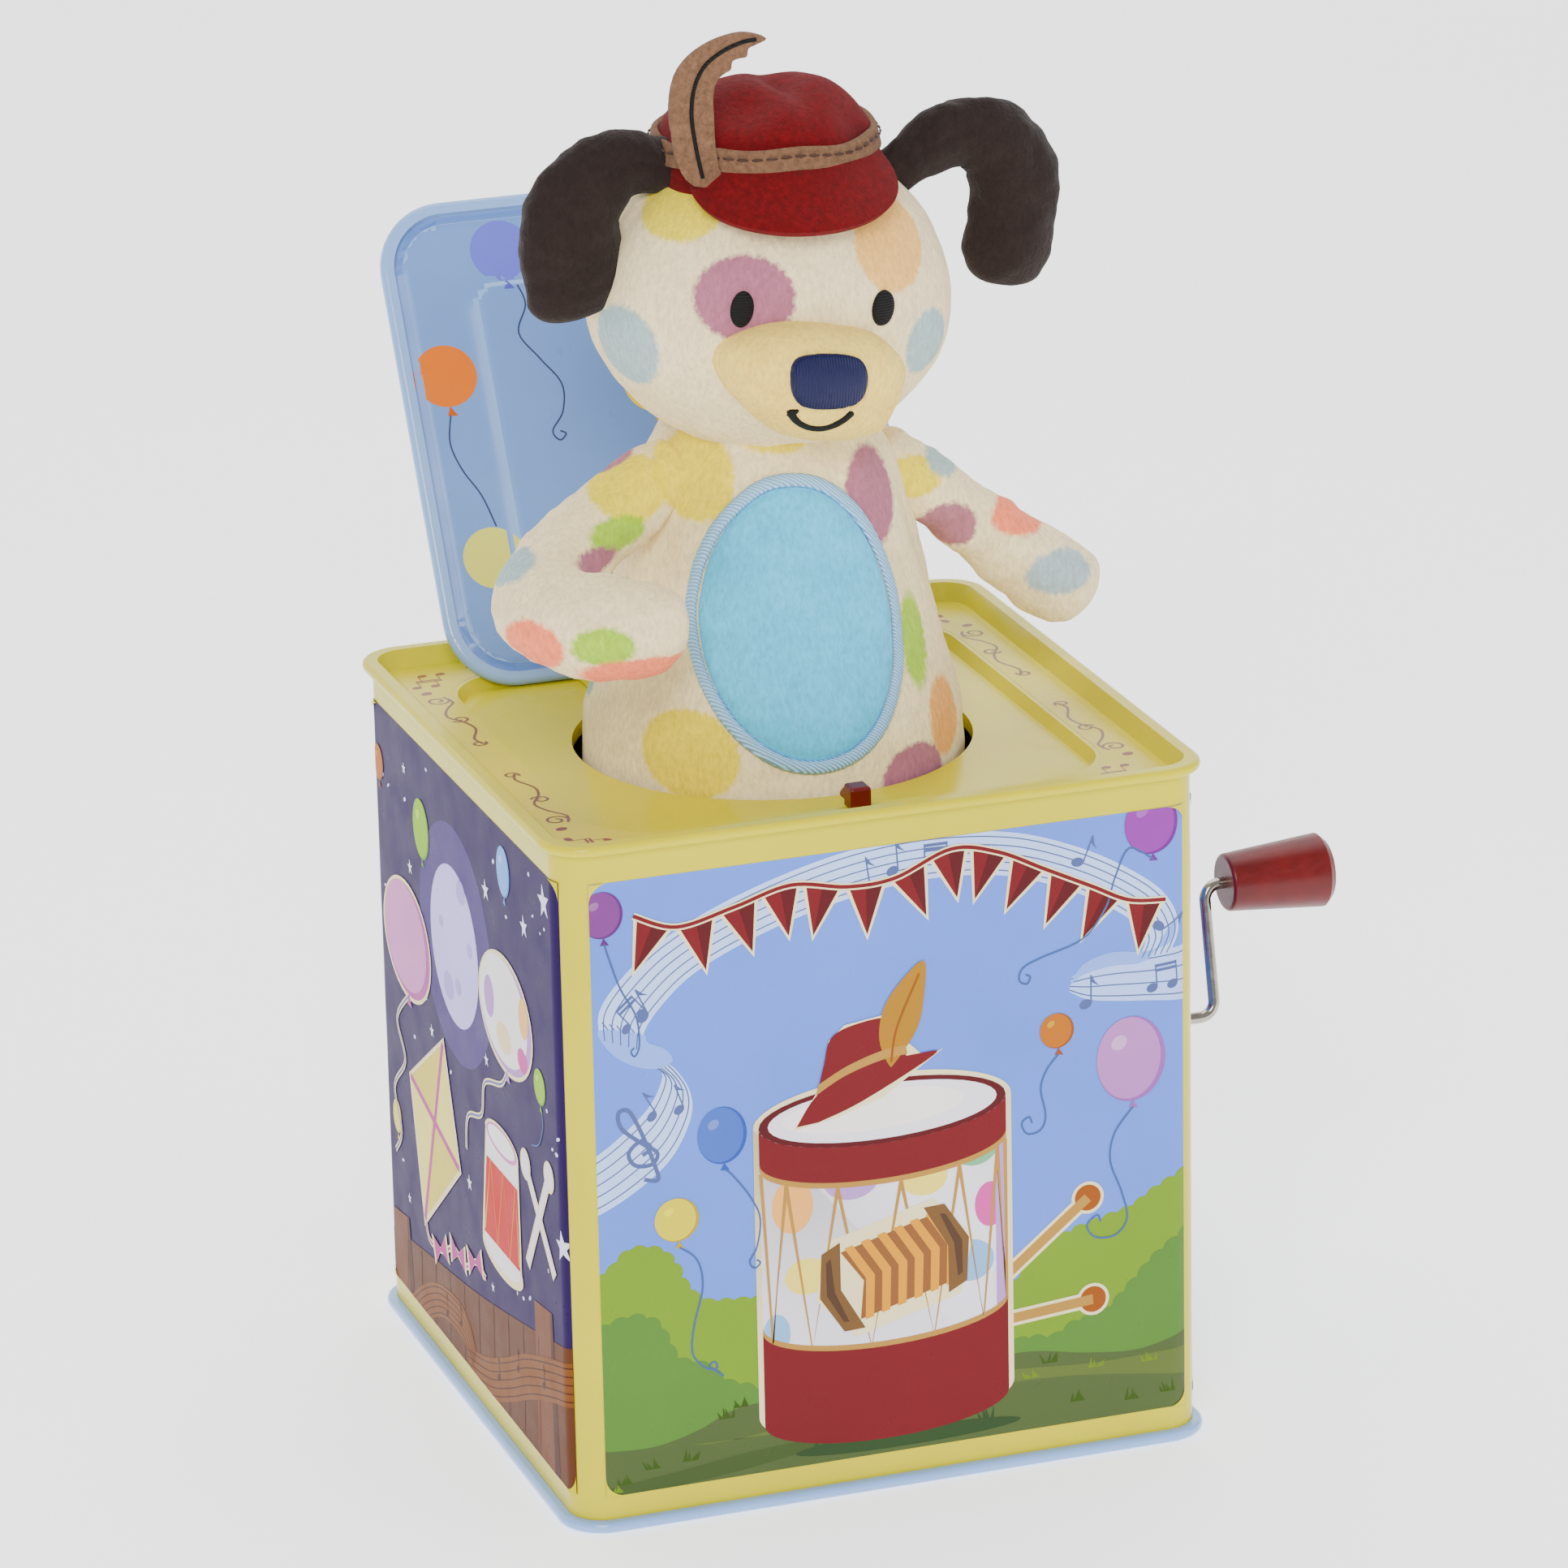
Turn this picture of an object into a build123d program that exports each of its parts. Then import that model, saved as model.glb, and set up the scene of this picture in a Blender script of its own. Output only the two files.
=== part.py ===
"""Jack in the box: a square tin box with a crank-driven musical movement, a hinged lid held by a
cam-released latch, and a plush dog on a coil spring under a fabric sleeve.

Frame: origin at the centre of the box's underside, +Z up, -Y the illustrated front with the latch,
+Y the lid hinge, +X the crank side. The model stands at rest with the lid open and the puppet up.
"""

import math
import os

from build123d import *

# ---------------------------------------------------------------- driving dimensions, mm
TIN = 0.5  # tinplate
RIM_W = 140.0  # over the rolled rims
RIM_R = 9.6
BODY_W = 135.8  # outside of the side shell
BODY_R = 7.5
BOX_H = 147.0
RIM_H = 2.3  # height of a rolled rim

LEDGE_Z = 143.2
LEDGE_W = 130.6
FLOOR_Z = 140.8  # floor of the lid's recess
RECESS_W = 107.4
RECESS_R = 15.4
HOLE_R = 41.5

LID_W = 106.0
LID_R = 15.0
LID_BEAD_R = 1.5
LID_OPEN = 119.4  # degrees from closed
HINGE_Y = 51.5
HINGE_Z = 142.4
HINGE_PIN_R = 1.0
KNUCKLE_W = 52.0

LATCH_X = -1.5
LATCH_Y = -57.4  # centre of the latch rod's upright
LATCH_PIVOT_Z = 63.8
ROD_R = 0.9

CRANK_Z = 64.7
WIRE_R = 1.25
ARM_X = 98.6
ARM_LENGTH = 28.1
ARM_LEAN = 13.0  # degrees back from upright
KNOB_X = 103.3
KNOB_LENGTH = 23.2
SPINDLE_END = KNOB_X + KNOB_LENGTH - 1.2

MODULE = 0.9
WHEEL_TEETH = 18
WORM_R = 3.4  # pitch radius
WHEEL_R = MODULE * WHEEL_TEETH / 2
WHEEL_X = 56.3
WHEEL_Z = CRANK_Z - WORM_R - WHEEL_R
WHEEL_PHASE = 0.3  # degrees, meshes the wheel with the worm
SHAFT_R = 1.5
DRUM_R = 6.2
PIN_H = 0.8
COMB_TEETH = 18

SPRING_R = 19.0  # mean radius
SPRING_WIRE_R = 0.9
SPRING_TURNS = 13
SPRING_TOP = 198.0
FABRIC = 1.6
SLEEVE_BOTTOM = 5.0

HEAD = (0.0, -4.0, 237.0)
HEAD_RX = 39.0  # half width
HEAD_R = 33.0  # half height and half depth
HEAD_TILT = 6.0  # degrees, towards the crank side
MUZZLE = (1.0, -30.5, 223.5)
MUZZLE_FRONT = -45.0
MUZZLE_RX = 21.5
MUZZLE_R = 14.5
PATCH_X = -1.5
PATCH_Z = 174.3
CLOTH_GAP = 0.4  # between soft pieces of different bodies

INSIDE = BODY_W / 2 - TIN  # inner face of a side wall
SHELL_TOP = BOX_H - RIM_H + 0.1

os.makedirs("parts", exist_ok=True)


def write(piece, name):
    """Labels a finished piece and writes it as one STEP file."""
    piece.part.label = name
    export_step(piece.part, f"parts/{name}.step")


def rod(start, end, radius):
    """A straight round bar between two points, for use inside a BuildPart."""
    line = Vector(*end) - Vector(*start)
    with BuildSketch(Plane(origin=start, z_dir=line)) as section:
        Circle(radius)
    extrude(section.sketch, amount=line.length)


def ball(centre, radius):
    """A ball, for use inside a BuildPart."""
    with Locations(centre):
        Sphere(radius)


def bent_rod(points, bend, radius):
    """A round bar along straight runs with rounded corners, for use inside a BuildPart."""
    start, nxt = Vector(*points[0]), Vector(*points[1])
    with BuildLine() as route:
        FilletPolyline(*points, radius=bend)
    with BuildSketch(Plane(origin=start, z_dir=nxt - start)) as section:
        Circle(radius)
    sweep(section.sketch, path=route.wires()[0])


# ---------------------------------------------------------------- box: shell, base and deck
with BuildPart() as side_shell:
    with BuildSketch(Plane.XY.offset(0.8)):
        RectangleRounded(BODY_W, BODY_W, BODY_R)
        RectangleRounded(BODY_W - 2 * TIN, BODY_W - 2 * TIN, BODY_R - TIN, mode=Mode.SUBTRACT)
    extrude(amount=SHELL_TOP - 0.8)
    # the lock seam of the wrapped sheet, down the middle of the back
    with Locations((0, BODY_W / 2 + TIN / 2, (2.4 + SHELL_TOP) / 2)):
        Box(7, TIN, SHELL_TOP - 2.4)
    with BuildSketch(Plane.YZ.offset(INSIDE - 1)):
        with Locations((0, CRANK_Z)):
            Circle(2.65)
        with Locations((6, CRANK_Z + 20), (6, CRANK_Z - 30), (-30, CRANK_Z + 12)):
            Circle(1.25)
    extrude(amount=4, mode=Mode.SUBTRACT)
write(side_shell, "side_shell")

with BuildPart() as bottom_plate:
    with BuildSketch():
        RectangleRounded(RIM_W, RIM_W, RIM_R)
    extrude(amount=RIM_H)
    fillet(bottom_plate.edges().group_by(Axis.Z)[0] + bottom_plate.edges().group_by(Axis.Z)[-1], 1.0)
    with BuildSketch(Plane.XY.offset(0.8)):
        RectangleRounded(BODY_W + 0.1, BODY_W + 0.1, BODY_R)
    extrude(amount=RIM_H, mode=Mode.SUBTRACT)
    # room for the shell's seam
    with Locations((0, BODY_W / 2 + TIN / 2, 0.8 + RIM_H / 2)):
        Box(7.4, TIN + 0.2, RIM_H, mode=Mode.SUBTRACT)
write(bottom_plate, "bottom_plate")

with BuildPart() as deck:
    with BuildSketch(Plane.XY.offset(BOX_H - RIM_H + 0.1)):
        RectangleRounded(RIM_W, RIM_W, RIM_R)
    extrude(amount=RIM_H - 0.1)
    fillet(deck.edges().group_by(Axis.Z)[0] + deck.edges().group_by(Axis.Z)[-1], 1.0)
    with BuildSketch(Plane.XY.offset(LEDGE_Z - 2 * TIN)):
        RectangleRounded(BODY_W - 2 * TIN - 0.2, BODY_W - 2 * TIN - 0.2, BODY_R - TIN)
    extrude(amount=BOX_H - LEDGE_Z - 0.4)
    with BuildSketch(Plane.XY.offset(FLOOR_Z - TIN)):
        RectangleRounded(RECESS_W + 4, RECESS_W + 4, RECESS_R + 2)
    extrude(amount=LEDGE_Z - FLOOR_Z)
    # sloping inner wall of the rim, down to the ledge
    with BuildSketch(Plane.XY.offset(LEDGE_Z)):
        RectangleRounded(LEDGE_W, LEDGE_W, BODY_R - 2)
    extrude(amount=5, taper=-23, mode=Mode.SUBTRACT)
    # stepped recess for the lid
    with BuildSketch(Plane.XY.offset(FLOOR_Z)):
        RectangleRounded(RECESS_W, RECESS_W, RECESS_R - 1.4)
    extrude(amount=LEDGE_Z - FLOOR_Z, taper=-30, mode=Mode.SUBTRACT)
    # round hole with a turned-down lip
    with BuildSketch(Plane.XY.offset(FLOOR_Z - 3)):
        Circle(HOLE_R + TIN + 0.2)
    extrude(amount=3)
    with BuildSketch(Plane.XY.offset(FLOOR_Z - 4)):
        Circle(HOLE_R)
    extrude(amount=6, mode=Mode.SUBTRACT)
    # slot in the front ledge for the latch's upright
    with BuildSketch(Plane.XY.offset(LEDGE_Z - 3)):
        with Locations((LATCH_X + 1.3, LATCH_Y - 2.2)):
            Rectangle(6.6, 6.8)
    extrude(amount=5, mode=Mode.SUBTRACT)
write(deck, "deck")

# ---------------------------------------------------------------- hinge on the recess floor
with BuildPart() as hinge_leaf:
    with Locations((0, 47.0, FLOOR_Z + TIN / 2)):
        Box(KNUCKLE_W, 7.4, TIN)
    rod((-KNUCKLE_W / 2, HINGE_Y, HINGE_Z), (KNUCKLE_W / 2, HINGE_Y, HINGE_Z), LID_BEAD_R)
    with BuildSketch(Plane.YZ.offset(-KNUCKLE_W)):
        with Locations((HINGE_Y, HINGE_Z)):
            Circle(HINGE_PIN_R + 0.06)
    extrude(amount=2 * KNUCKLE_W, mode=Mode.SUBTRACT)
    with BuildSketch(Plane.XY.offset(FLOOR_Z - 1)):
        with Locations((-18, 45.8), (18, 45.8)):
            Circle(0.9)
    extrude(amount=3, mode=Mode.SUBTRACT)
write(hinge_leaf, "hinge_leaf")

with BuildPart() as hinge_rivets:
    for x in (-18, 18):
        with BuildSketch(Plane.XY.offset(FLOOR_Z + TIN)):
            with Locations((x, 45.8)):
                Circle(1.5)
        extrude(amount=0.4)
        with BuildSketch(Plane.XY.offset(FLOOR_Z)):
            with Locations((x, 45.8)):
                Circle(0.9)
        extrude(amount=TIN)
write(hinge_rivets, "hinge_rivets")

# ---------------------------------------------------------------- lid, standing open
lean = math.radians(180 - LID_OPEN)
lid_plane = Plane(
    origin=(0, HINGE_Y, HINGE_Z), x_dir=(1, 0, 0), z_dir=(0, -math.sin(lean), math.cos(lean))
)
LID_MID = LID_W / 2 - LID_BEAD_R  # from the hinge axis to the lid's centre

with BuildPart() as lid:
    with BuildSketch(lid_plane.offset(-LID_BEAD_R)):
        with Locations((0, LID_MID)):
            RectangleRounded(LID_W, LID_W, LID_R)
    extrude(amount=2 * LID_BEAD_R)
    fillet(lid.edges().filter_by(GeomType.LINE).group_by(Axis(lid_plane.origin, lid_plane.z_dir))[0]
           + lid.edges().group_by(Axis(lid_plane.origin, lid_plane.z_dir))[-1], 1.3)
    with BuildSketch(lid_plane.offset(-3)):
        with Locations((0, LID_MID)):
            RectangleRounded(LID_W - 5.4, LID_W - 5.4, LID_R - 2.7)
    extrude(amount=6, mode=Mode.SUBTRACT)
    # sheet inside the bead: a sunk channel, a raised field and a pressed square
    for width, radius, low, high, taper in (
        (LID_W - 5.0, LID_R - 2.5, -1.2, -0.7, 0),
        (LID_W - 8.4, LID_R - 4.0, -1.2, 0.5, 20),
        (76.0, 9.0, -1.2, 1.4, 60),
    ):
        with BuildSketch(lid_plane.offset(low)):
            with Locations((0, LID_MID)):
                RectangleRounded(width, width, radius)
        extrude(amount=high - low, taper=taper)
    for width, radius, low, high, taper in (
        (LID_W - 9.8, LID_R - 4.6, -1.3, 0.0, 20),
        (73.0, 8.0, -1.3, 0.9, 60),
    ):
        with BuildSketch(lid_plane.offset(low)):
            with Locations((0, LID_MID)):
                RectangleRounded(width, width, radius)
        extrude(amount=high - low, taper=taper, mode=Mode.SUBTRACT)
    # gap in the bead for the knuckle, and the bore for the pin
    with BuildSketch(lid_plane.offset(-3)):
        with Locations((0, 0)):
            Rectangle(KNUCKLE_W + 0.8, 4.0)
    extrude(amount=6, mode=Mode.SUBTRACT)
    with BuildSketch(Plane.YZ.offset(-38.2)):
        with Locations((HINGE_Y, HINGE_Z)):
            Circle(HINGE_PIN_R + 0.02)
    extrude(amount=76.4, mode=Mode.SUBTRACT)
write(lid, "lid")

with BuildPart() as hinge_pin:
    rod((-38, HINGE_Y, HINGE_Z), (38, HINGE_Y, HINGE_Z), HINGE_PIN_R)
write(hinge_pin, "hinge_pin")

# ---------------------------------------------------------------- latch and its release rod
with BuildPart() as latch_rod:
    bent_rod(
        [
            (LATCH_X, LATCH_Y, 147.0),
            (LATCH_X, LATCH_Y, LATCH_PIVOT_Z),
            (WHEEL_X, LATCH_Y, LATCH_PIVOT_Z),
            (WHEEL_X, -28.0, LATCH_PIVOT_Z),
        ],
        2.5,
        ROD_R,
    )
write(latch_rod, "latch_rod")

with BuildPart() as latch_knob:
    with BuildSketch(Plane.XY.offset(143.5)):
        with Locations((LATCH_X, -56.5)):
            Rectangle(4.4, 4.6)
    extrude(amount=4.5)
    fillet(latch_knob.edges().group_by(Axis.Z)[-1], 0.8)
    fillet(latch_knob.edges().filter_by(Axis.Z), 0.5)
    # nose that reaches over the closed lid's edge, chamfered so that the lid pushes it aside
    with BuildSketch(Plane.YZ.offset(LATCH_X - 1.9)):
        with BuildLine():
            Polyline((-55, 144.3), (-51.2, 144.3), (-51.2, 145.0), (-53.2, 146.6), (-55, 146.6), close=True)
        make_face()
    extrude(amount=3.8)
    with BuildSketch(Plane.XY.offset(143)):
        with Locations((LATCH_X, LATCH_Y)):
            Circle(ROD_R)
    extrude(amount=4.0, mode=Mode.SUBTRACT)
write(latch_knob, "latch_knob")

with BuildPart() as rod_clips:
    for x in (8, 46):
        with BuildSketch(Plane.YZ.offset(x - 2)):
            with Locations(((-INSIDE + LATCH_Y + 2.2) / 2, LATCH_PIVOT_Z)):
                Rectangle(INSIDE + LATCH_Y + 2.2, 4.4)
            with Locations((LATCH_Y, LATCH_PIVOT_Z)):
                Circle(ROD_R + 0.05, mode=Mode.SUBTRACT)
        extrude(amount=4)
write(rod_clips, "rod_clips")

with BuildPart() as latch_spring:
    with BuildLine():
        Helix(pitch=1.0, height=6, radius=2.2, center=(24, LATCH_Y, LATCH_PIVOT_Z), direction=(1, 0, 0))
    coil = latch_spring.edges()[0] if latch_spring.edges() else latch_spring.pending_edges[0]
    with BuildSketch(Plane(origin=coil @ 0, z_dir=coil % 0)):
        Circle(0.25)
    sweep(path=coil, is_frenet=True)
write(latch_spring, "latch_spring")

# ---------------------------------------------------------------- crank
lean_back = math.radians(ARM_LEAN)
SPINDLE_Y = ARM_LENGTH * math.sin(lean_back)
SPINDLE_Z = CRANK_Z + ARM_LENGTH * math.cos(lean_back)
WORM_X = 50.8  # inner end of the worm
WORM_LENGTH = 11.0

with BuildPart() as crank:
    bent_rod(
        [
            (WORM_X - 4.5, 0, CRANK_Z),
            (ARM_X, 0, CRANK_Z),
            (ARM_X, SPINDLE_Y, SPINDLE_Z),
            (SPINDLE_END, SPINDLE_Y, SPINDLE_Z),
        ],
        3.4,
        WIRE_R,
    )
write(crank, "crank")

with BuildPart() as crank_knob:
    with BuildSketch(Plane.XZ.offset(-SPINDLE_Y)):
        with BuildLine():
            Polyline(
                (KNOB_X, SPINDLE_Z + WIRE_R + 0.06),
                (KNOB_X, SPINDLE_Z + 6.2),
                (KNOB_X + KNOB_LENGTH - 1.5, SPINDLE_Z + 8.0),
                (KNOB_X + KNOB_LENGTH, SPINDLE_Z + 6.6),
                (KNOB_X + KNOB_LENGTH, SPINDLE_Z + 3.4),
                (KNOB_X + KNOB_LENGTH - 3.2, SPINDLE_Z + 3.4),
                (KNOB_X + KNOB_LENGTH - 3.2, SPINDLE_Z + WIRE_R + 0.06),
                close=True,
            )
        make_face()
    revolve(axis=Axis((KNOB_X, SPINDLE_Y, SPINDLE_Z), (1, 0, 0)))
    fillet(crank_knob.edges().group_by(Axis.X)[0].sort_by(SortBy.LENGTH)[-1], 0.8)
write(crank_knob, "crank_knob")

with BuildPart() as knob_retainer:
    with BuildSketch(Plane.YZ.offset(KNOB_X + KNOB_LENGTH - 2.9)):
        with Locations((SPINDLE_Y, SPINDLE_Z)):
            Circle(2.9)
            Circle(WIRE_R, mode=Mode.SUBTRACT)
    extrude(amount=0.8)
write(knob_retainer, "knob_retainer")

with BuildPart() as crank_bush:
    with BuildSketch(Plane.YZ.offset(63.4)):
        with Locations((0, CRANK_Z)):
            Circle(2.6)
    extrude(amount=BODY_W / 2 - 63.4)
    with BuildSketch(Plane.YZ.offset(BODY_W / 2)):
        with Locations((0, CRANK_Z)):
            Circle(4.2)
    extrude(amount=1.0)
    with BuildSketch(Plane.YZ.offset(60)):
        with Locations((0, CRANK_Z)):
            Circle(WIRE_R + 0.05)
    extrude(amount=12, mode=Mode.SUBTRACT)
write(crank_bush, "crank_bush")

# ---------------------------------------------------------------- musical movement
PITCH = math.pi * MODULE
THREAD_ROOT_R = WORM_R - 1.1

with BuildPart() as worm:
    rod((WORM_X, 0, CRANK_Z), (WORM_X + WORM_LENGTH, 0, CRANK_Z), THREAD_ROOT_R)
    with BuildLine():
        thread = Helix(
            pitch=PITCH,
            height=WORM_LENGTH - 2.4,
            radius=THREAD_ROOT_R - 0.2,
            center=(WORM_X + 1.2, 0, CRANK_Z),
            direction=(1, 0, 0),
        )
    out = (thread @ 0) - Vector(WORM_X + 1.2, 0, CRANK_Z)
    with BuildSketch(Plane(origin=thread @ 0, x_dir=out, z_dir=thread % 0)):
        with BuildLine():
            Polyline((0, -0.6), (1.8, -0.3), (1.8, 0.3), (0, 0.6), close=True)
        make_face()
    sweep(path=thread, is_frenet=True)
    with BuildSketch(Plane.YZ.offset(WORM_X - 1)):
        with Locations((0, CRANK_Z)):
            Circle(WIRE_R)
    extrude(amount=WORM_LENGTH + 2, mode=Mode.SUBTRACT)
write(worm, "worm")

with BuildPart() as worm_wheel:
    with BuildSketch(Plane.XZ.offset(-1.5)):
        with Locations((WHEEL_X, WHEEL_Z)):
            Circle(WHEEL_R - 1.1)
            with PolarLocations(WHEEL_R - 0.2, WHEEL_TEETH, start_angle=WHEEL_PHASE):
                Rectangle(2.0, 0.7)
            Circle(SHAFT_R, mode=Mode.SUBTRACT)
    extrude(amount=3.0)
write(worm_wheel, "worm_wheel")

with BuildPart() as drum_shaft:
    rod((WHEEL_X, -31.5, WHEEL_Z), (WHEEL_X, 6.5, WHEEL_Z), SHAFT_R)
write(drum_shaft, "drum_shaft")

with BuildPart() as pinned_drum:
    with BuildSketch(Plane.XZ.offset(3.2)):
        with Locations((WHEEL_X, WHEEL_Z)):
            Circle(DRUM_R)
            Circle(SHAFT_R, mode=Mode.SUBTRACT)
    extrude(amount=21.6)
    for k in range(2 * COMB_TEETH):
        turn = math.radians(k * 137.5)
        y = -4.9 - 1.1 * (k % COMB_TEETH)
        away = Vector(math.cos(turn), 0, math.sin(turn))
        centre = Vector(WHEEL_X, y, WHEEL_Z)
        rod(tuple(centre + away * (DRUM_R - 0.5)), tuple(centre + away * (DRUM_R + PIN_H)), 0.3)
write(pinned_drum, "pinned_drum")

with BuildPart() as release_cam:
    with BuildSketch(Plane.XZ.offset(28.2)):
        with Locations((WHEEL_X, WHEEL_Z)):
            Circle(7.0)
            Circle(SHAFT_R, mode=Mode.SUBTRACT)
        with Locations((WHEEL_X, WHEEL_Z - 7.2)):
            Circle(1.9)
    extrude(amount=2.4)
write(release_cam, "release_cam")

with BuildPart() as movement_base:
    with BuildSketch(Plane.YZ.offset(INSIDE - 1.5)):
        with Locations((-11.5, CRANK_Z - 5)):
            RectangleRounded(47, 62, 3)
        with Locations((0, CRANK_Z)):
            Circle(2.65, mode=Mode.SUBTRACT)
        with Locations((6, CRANK_Z + 20), (6, CRANK_Z - 30), (-30, CRANK_Z + 12)):
            Circle(1.2, mode=Mode.SUBTRACT)
    extrude(amount=1.5)
    for y in (2.6, -27.6):
        with BuildSketch(Plane.XZ.offset(-y)):
            with Locations(((50.5 + INSIDE - 1.5) / 2, WHEEL_Z)):
                Rectangle(INSIDE - 1.5 - 50.5, 9)
            with Locations((WHEEL_X, WHEEL_Z)):
                Circle(SHAFT_R + 0.05, mode=Mode.SUBTRACT)
        extrude(amount=-1.6)
    with Locations(((58.0 + INSIDE - 1.5) / 2, -14, 34.0)):
        Box(INSIDE - 1.5 - 58.0, 21, 7)
    with BuildSketch(Plane.YZ.offset(57)):
        with Locations((-8, 34), (-20, 34)):
            Circle(1.0)
    extrude(amount=5, mode=Mode.SUBTRACT)
write(movement_base, "movement_base")

COMB_TIP = WHEEL_Z - DRUM_R - PIN_H - 0.3
with BuildPart() as comb:
    with BuildSketch(Plane.YZ.offset(57.0)):
        with Locations((-14, (30.5 + COMB_TIP) / 2)):
            Rectangle(20.6, COMB_TIP - 30.5)
        with Locations((-8, 34), (-20, 34)):
            Circle(1.1, mode=Mode.SUBTRACT)
        for k in range(COMB_TEETH - 1):
            with Locations((-4.9 - 1.1 * k - 0.55, (38.5 + COMB_TIP) / 2)):
                Rectangle(0.25, COMB_TIP - 38.5 + 0.01, mode=Mode.SUBTRACT)
    extrude(amount=1.0)
write(comb, "comb")

with BuildPart() as comb_screws:
    for y in (-8, -20):
        rod((55.6, y, 34), (57.0, y, 34), 2.0)
        rod((57.0, y, 34), (61.0, y, 34), 1.0)
write(comb_screws, "comb_screws")

with BuildPart() as movement_screws:
    for y, z in ((6, CRANK_Z + 20), (6, CRANK_Z - 30), (-30, CRANK_Z + 12)):
        rod((INSIDE - 1.5, y, z), (BODY_W / 2, y, z), 1.2)
        rod((BODY_W / 2, y, z), (BODY_W / 2 + 1.3, y, z), 2.4)
    with BuildSketch(Plane.YZ.offset(BODY_W / 2 + 0.8)):
        with Locations((6, CRANK_Z + 20), (6, CRANK_Z - 30), (-30, CRANK_Z + 12)):
            Rectangle(5, 0.7)
    extrude(amount=1, mode=Mode.SUBTRACT)
write(movement_screws, "movement_screws")

with BuildPart() as crank_bracket:
    with BuildSketch(Plane.XZ.offset(-3.5)):
        with BuildLine():
            Polyline(
                (INSIDE - 1.5, 71.8),
                (47.6, 71.8),
                (47.6, CRANK_Z - 3),
                (49.1, CRANK_Z - 3),
                (49.1, 70.3),
                (INSIDE - 1.5, 70.3),
                close=True,
            )
        make_face()
    extrude(amount=7)
    with BuildSketch(Plane.YZ.offset(47)):
        with Locations((0, CRANK_Z)):
            Circle(WIRE_R + 0.05)
    extrude(amount=3, mode=Mode.SUBTRACT)
write(crank_bracket, "crank_bracket")

# ---------------------------------------------------------------- main spring and its seats
with BuildPart() as spring_base:
    with BuildSketch(Plane.XY.offset(0.8)):
        Circle(30)
    extrude(amount=0.8)
    with PolarLocations(SPRING_R, 3, start_angle=20):
        with Locations((0, 0, 3.0)):
            Box(7, 5, 2.8)
    with BuildSketch(Plane.XY.offset(1.6)):
        Circle(SPRING_R + 1.3)
        Circle(SPRING_R - 1.3, mode=Mode.SUBTRACT)
    extrude(amount=6, mode=Mode.SUBTRACT)
write(spring_base, "spring_base")

with BuildPart() as main_spring:
    with BuildLine():
        coil = Helix(
            pitch=(SPRING_TOP - 2.8) / SPRING_TURNS,
            height=SPRING_TOP - 2.8 - 2 * SPRING_WIRE_R,
            radius=SPRING_R,
            center=(0, 0, 2.8 + SPRING_WIRE_R),
        )
    with BuildSketch(Plane(origin=coil @ 0, z_dir=coil % 0)):
        Circle(SPRING_WIRE_R)
    sweep(path=coil, is_frenet=True)
write(main_spring, "main_spring")

with BuildPart() as spring_cap:
    with BuildSketch(Plane.XY.offset(SPRING_TOP + 0.3)):
        Circle(SPRING_R + 1.5)
        Circle(4, mode=Mode.SUBTRACT)
    extrude(amount=1.5)
write(spring_cap, "spring_cap")

# ---------------------------------------------------------------- puppet
SLEEVE_OUTLINE = [
    (33.0, SLEEVE_BOTTOM),
    (36.0, 60.0),
    (39.4, 128.0),
    (39.6, 147.0),
    (36.4, 158.0),
    (33.0, 170.0),
    (30.6, 181.0),
    (27.4, 192.0),
    (23.9, 204.0),
    (23.0, 213.0),
]
head_plane = Plane(
    origin=HEAD,
    x_dir=(math.cos(math.radians(HEAD_TILT)), 0, -math.sin(math.radians(HEAD_TILT))),
    z_dir=(0, -1, 0),
)


head_up = (math.sin(math.radians(HEAD_TILT)), 0, math.cos(math.radians(HEAD_TILT)))


def sleeve_form(grow, bottom=SLEEVE_BOTTOM):
    """The sleeve's outer form as one closed solid, grown outwards, from a given height up."""
    points = [(r + grow, z) for r, z in SLEEVE_OUTLINE if z >= bottom]
    with BuildPart() as form:
        with BuildSketch(Plane.XZ):
            with BuildLine():
                Polyline((0, points[0][1]), *points, (0, points[-1][1]), close=True)
            make_face()
        revolve(axis=Axis.Z)
    return form.part


def egg_form(centre, half_width, half_height):
    """An ellipsoid of revolution about the head's sideways axis."""
    plane = Plane(origin=centre, x_dir=head_plane.x_dir, z_dir=head_up)
    with BuildPart() as form:
        with BuildSketch(plane):
            with BuildLine():
                EllipticalCenterArc((0, 0), half_width, half_height, start_angle=0, arc_size=180)
                Line((-half_width, 0), (half_width, 0))
            make_face()
        revolve(axis=Axis(centre, head_plane.x_dir))
    return form.part


def muzzle_pad(grow):
    """The muzzle as a rounded oval pad that stands forward from the head's middle."""
    plane = Plane(origin=(MUZZLE[0], -20, MUZZLE[2]), x_dir=head_plane.x_dir, z_dir=(0, -1, 0))
    with BuildPart() as form:
        with BuildSketch(plane):
            Ellipse(MUZZLE_RX + grow, MUZZLE_R + grow)
        extrude(amount=-20 - MUZZLE_FRONT + grow)
        fillet(form.edges().group_by(Axis.Y)[0], 8.5)
    return form.part


head_form = egg_form(HEAD, HEAD_RX, HEAD_R)
head_clearance = egg_form(HEAD, HEAD_RX + CLOTH_GAP, HEAD_R + CLOTH_GAP)
eye_skin = egg_form(HEAD, HEAD_RX + 0.9, HEAD_R + 0.9)
muzzle_form = muzzle_pad(0)
muzzle_clearance = muzzle_pad(CLOTH_GAP)
chest_form = sleeve_form(0, 100)
patch_skin = sleeve_form(1.0, 128)
border_skin = sleeve_form(1.5, 128)
chest_clearance = sleeve_form(1.5 + CLOTH_GAP, 100)

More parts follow.
